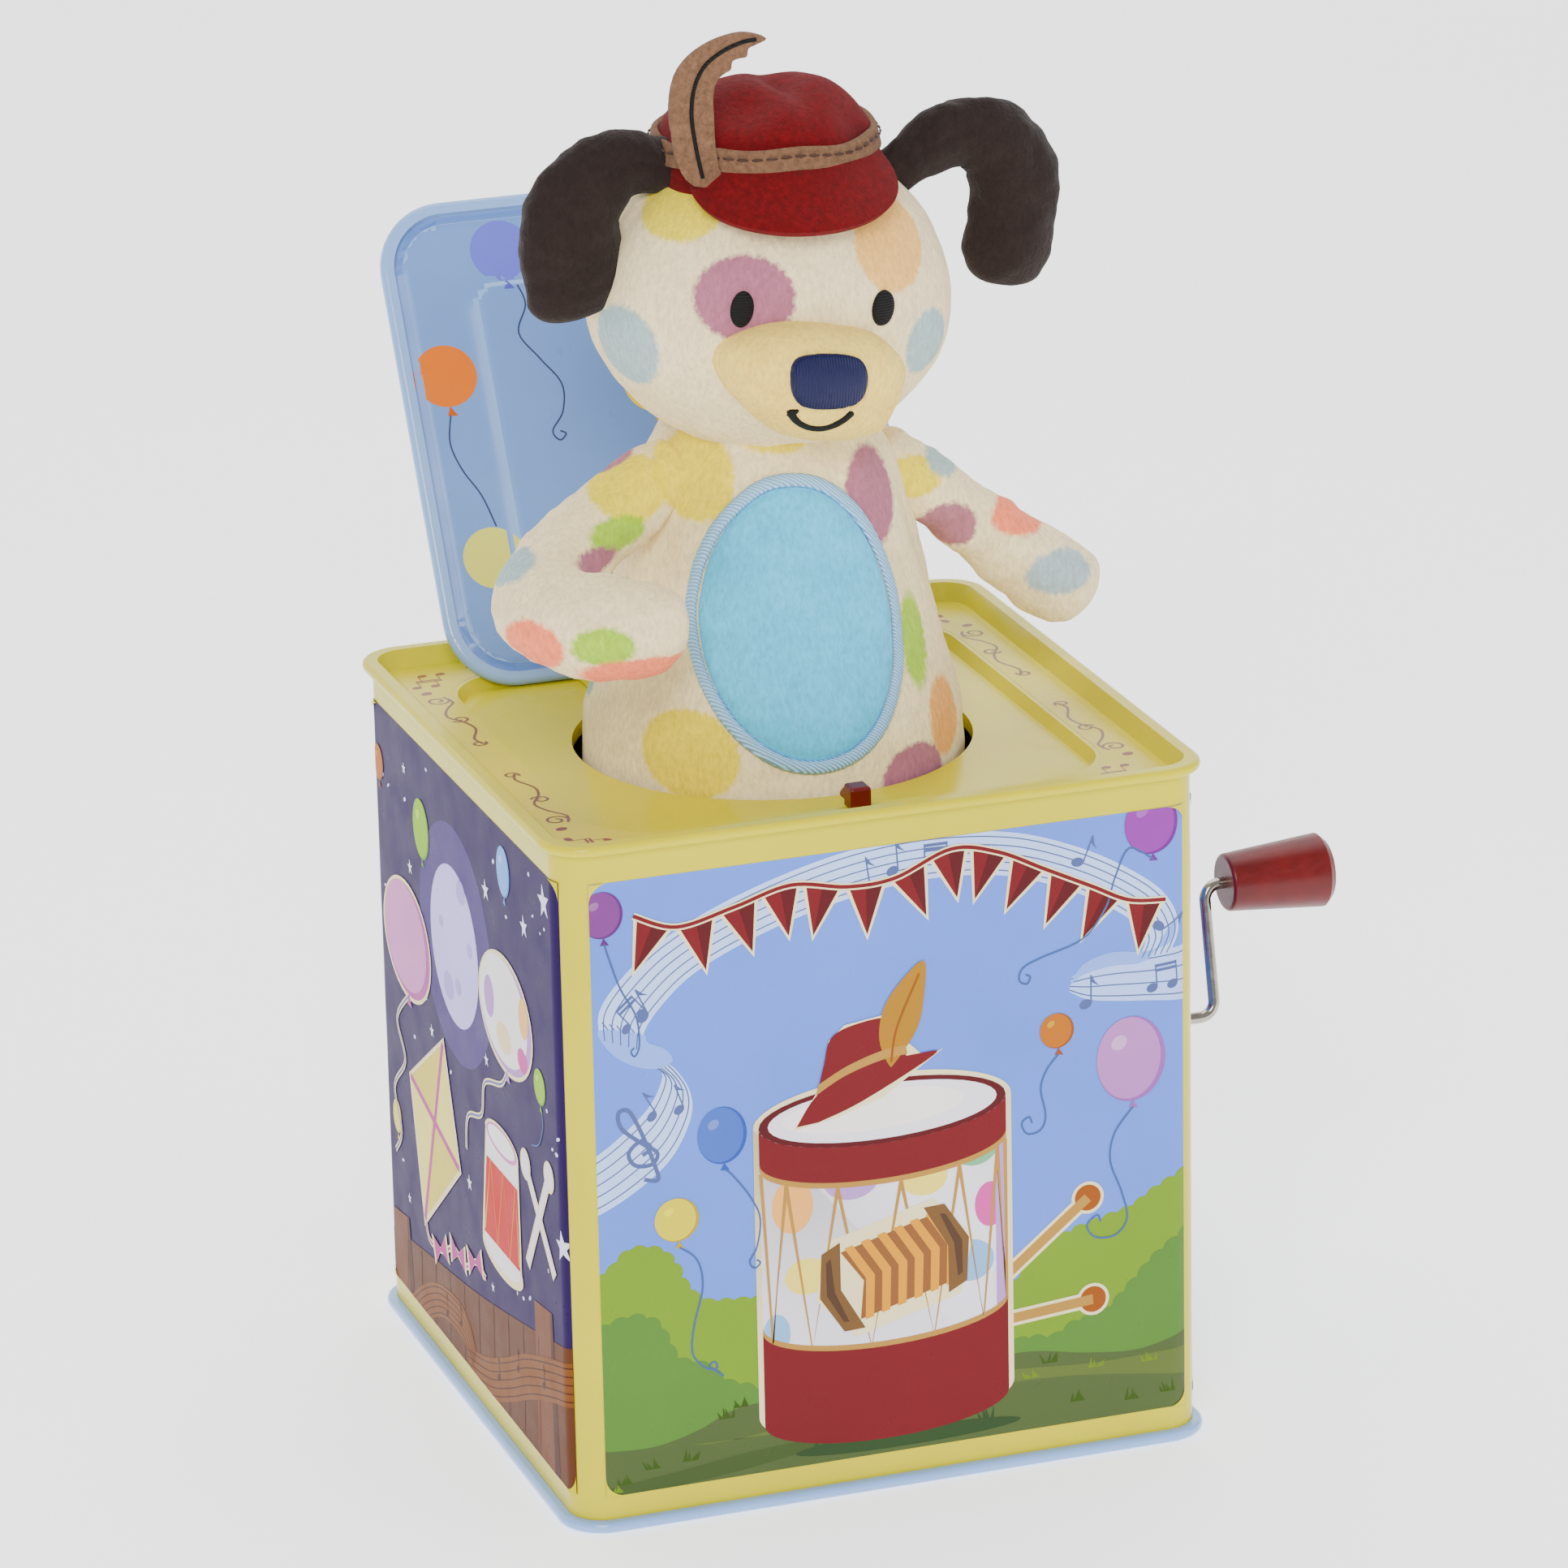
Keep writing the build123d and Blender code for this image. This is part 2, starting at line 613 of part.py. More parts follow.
with BuildPart() as torso_sleeve:
    with BuildSketch(Plane.XZ):
        with BuildLine():
            outer = list(SLEEVE_OUTLINE)
            inner = [(r - FABRIC, z) for r, z in reversed(SLEEVE_OUTLINE)]
            Polyline(*outer, *inner, close=True)
        make_face()
    revolve(axis=Axis.Z)
    for form in (head_clearance, muzzle_clearance):
        add(form, mode=Mode.SUBTRACT)
write(torso_sleeve, "torso_sleeve")

with BuildPart() as hem_ring:
    with BuildSketch(Plane.XY.offset(0.8)):
        Circle(SLEEVE_OUTLINE[0][0] + 1.5)
        Circle(30.4, mode=Mode.SUBTRACT)
    extrude(amount=SLEEVE_BOTTOM - 0.8)
write(hem_ring, "hem_ring")

with BuildPart() as belly_patch:
    with BuildSketch(Plane.XZ):
        with Locations((PATCH_X, PATCH_Z)):
            Ellipse(22.0, 28.5)
    extrude(amount=70)
    add(patch_skin, mode=Mode.INTERSECT)
    add(chest_form, mode=Mode.SUBTRACT)
write(belly_patch, "belly_patch")

with BuildPart() as patch_border:
    with BuildSketch(Plane.XZ):
        with Locations((PATCH_X, PATCH_Z)):
            Ellipse(24.5, 31.0)
            Ellipse(22.0, 28.5, mode=Mode.SUBTRACT)
    extrude(amount=70)
    add(border_skin, mode=Mode.INTERSECT)
    add(chest_form, mode=Mode.SUBTRACT)
write(patch_border, "patch_border")

with BuildPart() as head:
    add(head_form)
write(head, "head")

with BuildPart() as muzzle:
    add(muzzle_form)
    add(head_form, mode=Mode.SUBTRACT)
write(muzzle, "muzzle")

with BuildPart() as nose:
    with BuildSketch(Plane(origin=(-0.5, -38, 227.6), x_dir=head_plane.x_dir, z_dir=(0, -1, 0))):
        RectangleRounded(17.5, 11.5, 5)
    extrude(amount=8.8)
    add(muzzle_form, mode=Mode.SUBTRACT)
    add(head_form, mode=Mode.SUBTRACT)
write(nose, "nose")

with BuildPart() as eyes:
    with BuildSketch(head_plane):
        with Locations((-15.2, 2.6), (15.2, 2.6)):
            Ellipse(2.6, 3.8)
    extrude(amount=60)
    add(eye_skin, mode=Mode.INTERSECT)
    add(head_form, mode=Mode.SUBTRACT)
    add(muzzle_form, mode=Mode.SUBTRACT)
write(eyes, "eyes")


def drooping_ear(points, radius):
    """A stuffed ear: a fat bent tube with round ends, clear of the head."""
    with BuildPart() as ear:
        bent_rod(points, radius * 1.15, radius)
        ball(points[0], radius)
        ball(points[-1], radius)
        add(head_form, mode=Mode.SUBTRACT)
    return ear


left_ear = drooping_ear([(-19, -6, 262.5), (-43, -6, 264.5), (-43, -6, 246.5)], 8.8)
write(left_ear, "left_ear")
right_ear = drooping_ear([(24, -6, 256.5), (50.5, -6, 264.0), (49.5, -6, 240.5)], 8.8)
write(right_ear, "right_ear")

HAT_PLANE_Z = 265.5
with BuildPart() as hat_crown:
    with BuildSketch(Plane.XZ.offset(4)):
        with BuildLine():
            Polyline((0.8, 258), (23.3, 258), (23.3, 266))
            ThreePointArc((23.3, 266), (17.5, 278.5), (0.8, 282.5))
            Line((0.8, 282.5), (0.8, 258))
        make_face()
    revolve(axis=Axis((0.8, -4, 0), (0, 0, 1)))
    add(head_form, mode=Mode.SUBTRACT)
    for ear in (left_ear, right_ear):
        add(ear.part, mode=Mode.SUBTRACT)
write(hat_crown, "hat_crown")

with BuildPart() as hat_band:
    with BuildSketch(Plane.XY.offset(HAT_PLANE_Z - 2.4)):
        with Locations((0.8, -4)):
            Circle(24.7)
            Circle(23.3, mode=Mode.SUBTRACT)
    extrude(amount=5.0)
    add(head_form, mode=Mode.SUBTRACT)
    for ear in (left_ear, right_ear):
        add(ear.part, mode=Mode.SUBTRACT)
write(hat_band, "hat_band")

with BuildPart() as hat_brim:
    # a felt peak that dips over the forehead
    with BuildSketch(Plane(origin=(0.8, -22, 262.3), x_dir=(1, 0, 0), z_dir=(0, -0.5, 0.866))):
        with Locations((0, -4)):
            Ellipse(20, 13.5)
    extrude(amount=2.0, both=True)
    add(head_form, mode=Mode.SUBTRACT)
    add(hat_crown.part, mode=Mode.SUBTRACT)
    add(hat_band.part, mode=Mode.SUBTRACT)
    with Locations((0.8, -4, 260)):
        Cylinder(23.3, 40, mode=Mode.SUBTRACT)
write(hat_brim, "hat_brim")

with BuildPart() as feather:
    with BuildSketch(Plane.XZ.offset(29.0)):
        with BuildLine():
            l1 = Line((-19.0, 266.0), (-23.5, 270.0))
            l2 = ThreePointArc((-23.5, 270.0), (-23.0, 287.0), (-11.0, 295.5))
            l3 = ThreePointArc((-11.0, 295.5), (-6.5, 295.6), (-3.0, 293.5))
            l4 = ThreePointArc((-3.0, 293.5), (-13.5, 286.5), (-13.5, 266.0))
            l5 = Line((-13.5, 266.0), (-19.0, 266.0))
        make_face()
    extrude(amount=1.2)
write(feather, "feather")


with BuildPart() as left_arm:
    bent_rod([(-22, -6, 199.5), (-54, -9, 181.5), (-36, -45, 173.5)], 13, 9.6)
    ball((-22, -6, 199.5), 9.6)
    ball((-36, -45, 173.5), 9.6)
    for form in (chest_clearance, head_clearance, muzzle_clearance):
        add(form, mode=Mode.SUBTRACT)
write(left_arm, "left_arm")

with BuildPart() as right_arm:
    shoulder, hand = Vector(25, -4, 198.5), Vector(64.5, -4, 168.0)
    with BuildSketch(Plane(origin=shoulder, z_dir=hand - shoulder)):
        Circle(7.6)
    with BuildSketch(Plane(origin=hand, z_dir=hand - shoulder)):
        Circle(9.8)
    loft()
    ball(tuple(shoulder), 7.6)
    ball(tuple(hand), 9.8)
    for form in (chest_clearance, head_clearance, muzzle_clearance):
        add(form, mode=Mode.SUBTRACT)
write(right_arm, "right_arm")
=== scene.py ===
import math
import random

import bmesh
import bpy
import numpy as np
from mathutils import Matrix, Vector, noise
from mathutils.bvhtree import BVHTree


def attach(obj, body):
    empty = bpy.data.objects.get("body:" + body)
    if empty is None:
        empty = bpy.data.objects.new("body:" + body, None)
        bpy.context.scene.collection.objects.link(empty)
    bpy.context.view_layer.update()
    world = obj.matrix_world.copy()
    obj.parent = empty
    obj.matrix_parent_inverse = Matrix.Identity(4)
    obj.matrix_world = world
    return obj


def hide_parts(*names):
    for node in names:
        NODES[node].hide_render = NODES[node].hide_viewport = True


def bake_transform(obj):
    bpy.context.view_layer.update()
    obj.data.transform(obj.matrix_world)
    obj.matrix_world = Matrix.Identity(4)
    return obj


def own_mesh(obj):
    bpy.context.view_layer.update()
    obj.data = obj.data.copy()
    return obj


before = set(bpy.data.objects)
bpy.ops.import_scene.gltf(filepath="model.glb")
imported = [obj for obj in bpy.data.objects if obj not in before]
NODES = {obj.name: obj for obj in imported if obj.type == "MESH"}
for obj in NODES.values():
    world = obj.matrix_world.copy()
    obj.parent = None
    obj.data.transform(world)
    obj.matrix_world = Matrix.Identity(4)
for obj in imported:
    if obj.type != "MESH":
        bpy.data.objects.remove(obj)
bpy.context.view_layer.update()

MM = 0.001
scene = bpy.context.scene

# ---------------------------------------------------------------- camera, floor and light
AZ, EL, ROLL = math.radians(-18.87), math.radians(18.89), math.radians(-1.24)
TARGET = Vector((0.0164, 0.0412, 0.1148))
DISTANCE = 1.635

back = Vector((math.sin(AZ) * math.cos(EL), -math.cos(AZ) * math.cos(EL), math.sin(EL)))
right = Vector((math.cos(AZ), math.sin(AZ), 0))
up = back.cross(right)
right_rolled = math.cos(ROLL) * right + math.sin(ROLL) * up
up_rolled = math.cos(ROLL) * up - math.sin(ROLL) * right

def add(name, data):
    """A new object in the scene that holds the data."""
    made = bpy.data.objects.new(name, data)
    scene.collection.objects.link(made)
    return made


camera_data = bpy.data.cameras.new("camera")
camera_data.lens = 176.0
camera_data.sensor_width = 36.0
camera_data.clip_end = 20.0
camera = add("camera", camera_data)
place = Matrix((right_rolled, up_rolled, back)).transposed().to_4x4()
place.translation = TARGET + back * DISTANCE
camera.matrix_world = place
scene.camera = camera


def area_light(name, location, size, power, colour=(1, 1, 1)):
    """A square soft light pointed at the middle of the object."""
    data = bpy.data.lights.new(name, "AREA")
    data.size = size
    data.energy = power
    data.color = colour
    light = add(name, data)
    light.location = location
    aim = Vector((0, 0, 0.15)) - Vector(location)
    light.rotation_euler = aim.to_track_quat("-Z", "Y").to_euler()


area_light("key", (-0.55, -1.25, 1.05), 0.6, 23.0, (1.0, 0.985, 0.96))
area_light("fill", (1.1, -0.9, 0.55), 0.9, 6.0, (0.97, 0.985, 1.0))
area_light("top", (0.15, 0.35, 1.3), 0.9, 7.0)

world = bpy.data.worlds.new("world")
world.use_nodes = True
sky_light = world.node_tree.nodes["Background"].inputs
sky_light["Color"].default_value = (0.93, 0.96, 1.0, 1)
sky_light["Strength"].default_value = 0.6
scene.world = world

SATURATE, DEEPEN = 1.4, 1.3


def srgb(code):
    """A hex colour as linear RGB, stronger and deeper, because the view transform pales strong colours."""
    values = [int(code[i : i + 2], 16) / 255 for i in (1, 3, 5)]
    r, g, b = (v / 12.92 if v <= 0.04045 else ((v + 0.055) / 1.055) ** 2.4 for v in values)
    grey = 0.2126 * r + 0.7152 * g + 0.0722 * b
    return [max(grey + (v - grey) * SATURATE, 0.0) ** DEEPEN for v in (r, g, b)]


def scaled(colour, k):
    """A colour made lighter or darker."""
    return [min(1.0, c * k) for c in colour]


# ---------------------------------------------------------------- material building blocks
class Shader:
    """A material under construction, with short calls for the nodes used here."""

    def __init__(self, name):
        self.material = bpy.data.materials.new(name)
        self.material.use_nodes = True
        self.tree = self.material.node_tree
        self.main = self.tree.nodes["Principled BSDF"]

    def put(self, value, socket):
        """Links a socket, or sets a number, a vector or a linear colour."""
        if isinstance(value, bpy.types.NodeSocket):
            self.tree.links.new(value, socket)
        elif socket.type == "RGBA":
            socket.default_value = (*value, 1)
        else:
            socket.default_value = value

    def node(self, kind, output, inputs, **settings):
        """Adds a node, sets or links its inputs and returns one of its outputs."""
        made = self.tree.nodes.new(kind)
        for key, value in settings.items():
            setattr(made, key, value)
        for key, value in inputs.items():
            self.put(value, made.inputs[key])
        return made.outputs[output]

    def vector(self, operation, first, second=None):
        """Vector maths. SCALE takes a number or a value socket second, and LENGTH takes nothing."""
        inputs = {0: first}
        if second is not None:
            inputs["Scale" if operation == "SCALE" else 1] = second
        output = "Value" if operation == "LENGTH" else "Vector"
        return self.node("ShaderNodeVectorMath", output, inputs, operation=operation)

    def place(self, rest):
        """Coordinates in millimetres: the stored rest place of a soft piece, or the object's own."""
        if rest:
            return self.node("ShaderNodeAttribute", "Vector", {}, attribute_name="rest")
        return self.vector("SCALE", self.node("ShaderNodeTexCoord", "Object", {}), 1000)

    def noise(self, at, scale, detail=2.0, rough=0.5, stretch=None, output="Fac"):
        if stretch:
            at = self.vector("MULTIPLY", at, stretch)
        inputs = {"Scale": scale, "Detail": detail, "Roughness": rough, "Vector": at}
        return self.node("ShaderNodeTexNoise", output, inputs)

    def remap(self, value, low, high, to_low, to_high):
        limits = {"From Min": low, "From Max": high, "To Min": to_low, "To Max": to_high}
        return self.node("ShaderNodeMapRange", "Result", {**limits, "Value": value})

    def mix(self, amount, first, second):
        """Colour mix; first and second are sockets or linear colours."""
        return self.node("ShaderNodeMix", 2, {0: amount, 6: first, 7: second}, data_type="RGBA")

    def bump(self, height, depth_mm, strength, below=None):
        inputs = {"Strength": strength, "Distance": depth_mm * MM, "Height": height}
        if below is not None:
            inputs["Normal"] = below
        return self.node("ShaderNodeBump", "Normal", inputs)

    def finish(self, colour, roughness, normal=None, **others):
        self.put(colour, self.main.inputs["Base Color"])
        self.put(roughness, self.main.inputs["Roughness"])
        if normal is not None:
            self.put(normal, self.main.inputs["Normal"])
        for name, value in others.items():
            self.put(value, self.main.inputs[name.replace("_", " ")])
        return self.material


def tin(name, code, rough, coat, shine=0.3):
    """Gloss paint or print on tinplate, with a faint orange peel."""
    s = Shader(name)
    at = s.place(False)
    base = srgb(code)
    tone = s.remap(s.noise(at, 0.035, 3.0), 0.3, 0.7, 0.0, 1.0)
    colour = s.mix(tone, scaled(base, 0.95), scaled(base, 1.04))
    gloss = s.remap(s.noise(at, 0.12, 4.0), 0.3, 0.7, rough - 0.04, rough + 0.07)
    normal = s.bump(s.noise(at, 0.45, 2.0), 0.02, 0.5)
    lacquer = {"Coat_Weight": coat, "Coat_Roughness": 0.08, "Specular_IOR_Level": shine}
    return s.finish(colour, gloss, normal, **lacquer)


def bare_metal(name, code, rough):
    """Bright wire, pins and gear parts, with drawing marks."""
    s = Shader(name)
    at = s.place(False)
    base = srgb(code)
    marks = s.noise(at, 0.5, 3.0)
    colour = s.mix(s.remap(marks, 0.35, 0.65, 0.0, 1.0), scaled(base, 0.88), base)
    gloss = s.remap(marks, 0.3, 0.7, max(rough - 0.06, 0.05), rough + 0.08)
    return s.finish(colour, gloss, s.bump(marks, 0.004, 0.15), Metallic=1.0)


def moulded(name, code):
    """Glossy coloured plastic with fine handling marks."""
    s = Shader(name)
    at = s.place(False)
    base = srgb(code)
    tone = s.remap(s.noise(at, 0.25, 3.0), 0.35, 0.65, 0, 1)
    colour = s.mix(tone, scaled(base, 0.85), scaled(base, 1.1))
    scuffs = s.noise(at, 1.1, 6.0, 0.7, (0.4, 1.6, 1.0))
    gloss = s.remap(scuffs, 0.35, 0.75, 0.3, 0.46)
    return s.finish(colour, gloss, s.bump(scuffs, 0.02, 0.3), Specular_IOR_Level=0.35)


def plush(name, code, spots=(), pile=1.0, sheen=0.12, flow=(1.0, 1.0, 0.45)):
    """Short pile cloth. Each spot is (x, y, z, half x, half y, half z, hex) in millimetres at rest."""
    s = Shader(name)
    at = s.place(True)
    base = srgb(code)
    fine = s.noise(at, 1.05 / pile, 5.0, 0.7, flow)
    broad = s.noise(at, 0.11, 3.0, 0.55)
    colour = s.mix(s.remap(broad, 0.3, 0.7, 0, 1), scaled(base, 0.9), scaled(base, 1.05))
    # the spots' edges waver by about a millimetre
    wobble = s.vector("SUBTRACT", s.noise(at, 0.9, 3.0, output="Color"), (0.5, 0.5, 0.5))
    moved = s.vector("ADD", at, s.vector("SCALE", wobble, 2.2))
    for x, y, z, hx, hy, hz, spot_code in spots:
        offset = s.vector("DIVIDE", s.vector("SUBTRACT", moved, (x, y, z)), (hx, hy, hz))
        edge = 0.5 / min(hx, hz)
        cover = s.remap(s.vector("LENGTH", offset), 1 - edge, 1 + edge, 0.93, 0.0)
        colour = s.mix(cover, colour, srgb(spot_code))
    tinted = s.vector("SCALE", colour, s.remap(fine, 0.28, 0.72, 0.76, 1.14))
    normal = s.bump(fine, 0.55 * pile, 0.75, s.bump(broad, 0.5, 0.25))
    cloth = {"Sheen_Weight": sheen, "Sheen_Roughness": 0.45, "Specular_IOR_Level": 0.12}
    return s.finish(tinted, 0.95, normal, **cloth)


def felt(name, code, sheen):
    """Matted felt: long crossing fibres and no pile."""
    s = Shader(name)
    at = s.place(True)
    base = srgb(code)
    fibres = s.noise(at, 0.85, 8.0, 0.75, (1.0, 0.6, 1.0))
    broad = s.noise(at, 0.2, 3.0)
    colour = s.mix(s.remap(fibres, 0.32, 0.68, 0, 1), scaled(base, 0.5), scaled(base, 1.3))
    colour = s.mix(s.remap(broad, 0.4, 0.7, 0, 0.35), colour, scaled(base, 0.8))
    normal = s.bump(fibres, 0.7, 0.9, s.bump(broad, 1.2, 0.4))
    cloth = {"Sheen_Weight": sheen, "Sheen_Roughness": 0.5, "Specular_IOR_Level": 0.15}
    return s.finish(colour, 0.92, normal, **cloth)


def thread(name, code, along, rough, pitch=0.55):
    """Satin stitch: fine parallel shiny threads, about a pitch apart in millimetres."""
    s = Shader(name)
    base = srgb(code)
    inputs = {"Scale": 0.314 / pitch, "Distortion": 1.6, "Detail": 2.0, "Vector": s.place(True)}
    wave = s.node("ShaderNodeTexWave", "Fac", inputs, bands_direction=along)
    # each thread is painted lighter along its crown and darker in the grooves between threads: painted
    # highlight and painted shade over the thread's own colour
    colour = s.mix(wave, scaled(base, 0.55), scaled(base, 1.12))
    return s.finish(colour, rough, s.bump(wave, 0.25, 0.8), Specular_IOR_Level=0.3)


def board(name):
    """Grey pressed board with fibres."""
    s = Shader(name)
    fibres = s.noise(s.place(False), 0.9, 6.0, 0.7, (1, 1, 0.3))
    colour = s.mix(s.remap(fibres, 0.35, 0.65, 0, 1), srgb("#7A6A52"), srgb("#A08C6C"))
    return s.finish(colour, 0.9, s.bump(fibres, 0.1, 0.6))


YELLOW_INK = "#D2CA00"
YELLOW = tin("yellow_tin", YELLOW_INK, 0.22, 0.08, 0.16)
BLUE_TIN = tin("light_blue_tin", "#A4BADC", 0.2, 0.3)
STEEL = bare_metal("bright_steel", "#B9B4AC", 0.16)
DARK_STEEL = bare_metal("spring_steel", "#77787A", 0.35)
BRASS = bare_metal("brass", "#C79F55", 0.28)
ZINC = bare_metal("zinc_casting", "#8E9092", 0.5)
RED_PLASTIC = moulded("red_plastic", "#6C1F1E")

BOARD = board("grey_board")

for finish, names in (
    (YELLOW, "side_shell deck hinge_leaf"),
    (BLUE_TIN, "bottom_plate lid"),
    (STEEL, "hinge_rivets hinge_pin rod_clips crank_bracket movement_screws spring_base"),
    (STEEL, "latch_rod crank knob_retainer drum_shaft"),
    (BRASS, "crank_bush comb_screws worm_wheel pinned_drum release_cam"),
    (DARK_STEEL, "comb latch_spring"),
    (ZINC, "movement_base worm"),
    (RED_PLASTIC, "latch_knob crank_knob"),
    (BOARD, "hem_ring spring_cap"),
):
    for node_name in names.split():
        shown = NODES[node_name]
        if not shown.material_slots:
            shown.data.materials.append(finish)
        for held in shown.material_slots:
            held.link = "OBJECT"
            held.material = finish


# ---------------------------------------------------------------- floor
def build_floor():
    """A pale sweep that curves up behind the box."""
    shape = bmesh.new()
    profile = [(-3.0, 0), (1.2, 0)]
    for a in np.linspace(0.1, math.pi / 2, 12):
        profile.append((1.2 + 0.8 * math.sin(a), 0.8 - 0.8 * math.cos(a)))
    profile += [(2.0, 4.0)]
    rows = [[shape.verts.new((x, y, z - 0.00005)) for y, z in profile] for x in (-3.5, 3.5)]
    for i in range(len(profile) - 1):
        shape.faces.new((rows[0][i], rows[1][i], rows[1][i + 1], rows[0][i + 1]))
    mesh = bpy.data.meshes.new("floor")
    shape.to_mesh(mesh)
    shape.free()
    mesh.shade_smooth()
    s = Shader("floor_paper")
    tone = s.mix(s.noise(s.place(False), 0.004, 2.0), srgb("#F4F4F4"), srgb("#F9F9F9"))
    glow = {"Specular_IOR_Level": 0.1, "Emission_Color": (1, 1, 1), "Emission_Strength": 1.2}
    mesh.materials.append(s.finish(tone, 0.85, **glow))
    add("floor", mesh)


build_floor()


# ---------------------------------------------------------------- printed artwork as thin layers
def catmull(a, b, c, d, t):
    """A Catmull-Rom curve's point between b and c."""
    square, cube = 2 * a - 5 * b + 4 * c - d, 3 * b - a - 3 * c + d
    return 0.5 * (2 * b + (c - a) * t + square * t * t + cube * t ** 3)


def smooth_line(points, per, closed=False):
    """A smooth curve through 2-D points, with per steps between two points."""
    pts = [Vector((p[0], p[1])) for p in points]
    n = len(pts)
    found = []
    for i in range(n if closed else n - 1):
        if closed:
            around = [pts[(i + k) % n] for k in (-1, 0, 1, 2)]
        else:
            around = [pts[max(i - 1, 0)], pts[i], pts[i + 1], pts[min(i + 2, n - 1)]]
        found += [catmull(*around, k / per) for k in range(per)]
    if not closed:
        found.append(pts[-1])
    return [(p.x, p.y) for p in found]


def heading(line, i):
    """The direction of a line of points at its point i."""
    return (line[min(i + 1, len(line) - 1)] - line[max(i - 1, 0)]).normalized()


def distances(line):
    """How far along a line each of its points lies."""
    run = [0.0]
    for a, b in zip(line, line[1:]):
        run.append(run[-1] + math.dist(a, b))
    return run


def placer(x, y, turn, size=1.0):
    """A function that turns a motif's own point by an angle in degrees, sizes it and puts it in place."""
    c, s = math.cos(math.radians(turn)), math.sin(math.radians(turn))
    return lambda px, py: (x + size * (px * c - py * s), y + size * (px * s + py * c))


CORNER_STEPS = 8


def rounded_square(half, r, middle=0.0):
    """The outline of a square with round corners, anticlockwise from its right side."""
    found = []
    for cx, cy, start in ((1, 1, 0), (-1, 1, 90), (-1, -1, 180), (1, -1, 270)):
        for k in range(CORNER_STEPS + 1):
            a = math.radians(start + 90 * k / CORNER_STEPS)
            found.append((cx * (half - r) + r * math.cos(a), middle + cy * (half - r) + r * math.sin(a)))
    return found


def oval(x, y, rx, ry, turn=0.0, n=40, start=0.0, end=360.0):
    """Points of an ellipse or part of one."""
    c, s = math.cos(math.radians(turn)), math.sin(math.radians(turn))
    full = abs(end - start) >= 360
    found = []
    for k in range(n if full else n + 1):
        a = math.radians(start + (end - start) * k / n)
        px, py = rx * math.cos(a), ry * math.sin(a)
        found.append((x + px * c - py * s, y + px * s + py * c))
    return found


LEAF_STEP = 0.45


def scalloped(points, bump):
    """A leafy edge: small round bumps along a line of points."""
    found = []
    line = smooth_line(points, 10)
    run = distances(line)
    steps = max(2, int(run[-1] / LEAF_STEP))
    for k in range(steps + 1):
        want = run[-1] * k / steps
        i = min(max(int(np.searchsorted(run, want)) - 1, 0), len(line) - 2)
        t = (want - run[i]) / max(run[i + 1] - run[i], 1e-9)
        p = Vector(line[i]).lerp(Vector(line[i + 1]), t)
        d = (Vector(line[i + 1]) - Vector(line[i])).normalized()
        lift = bump * abs(math.sin(want / bump * 0.8)) ** 0.6
        found.append((p.x - d.y * lift, p.y + d.x * lift))
    return found


SUB_LAYER = 0.035


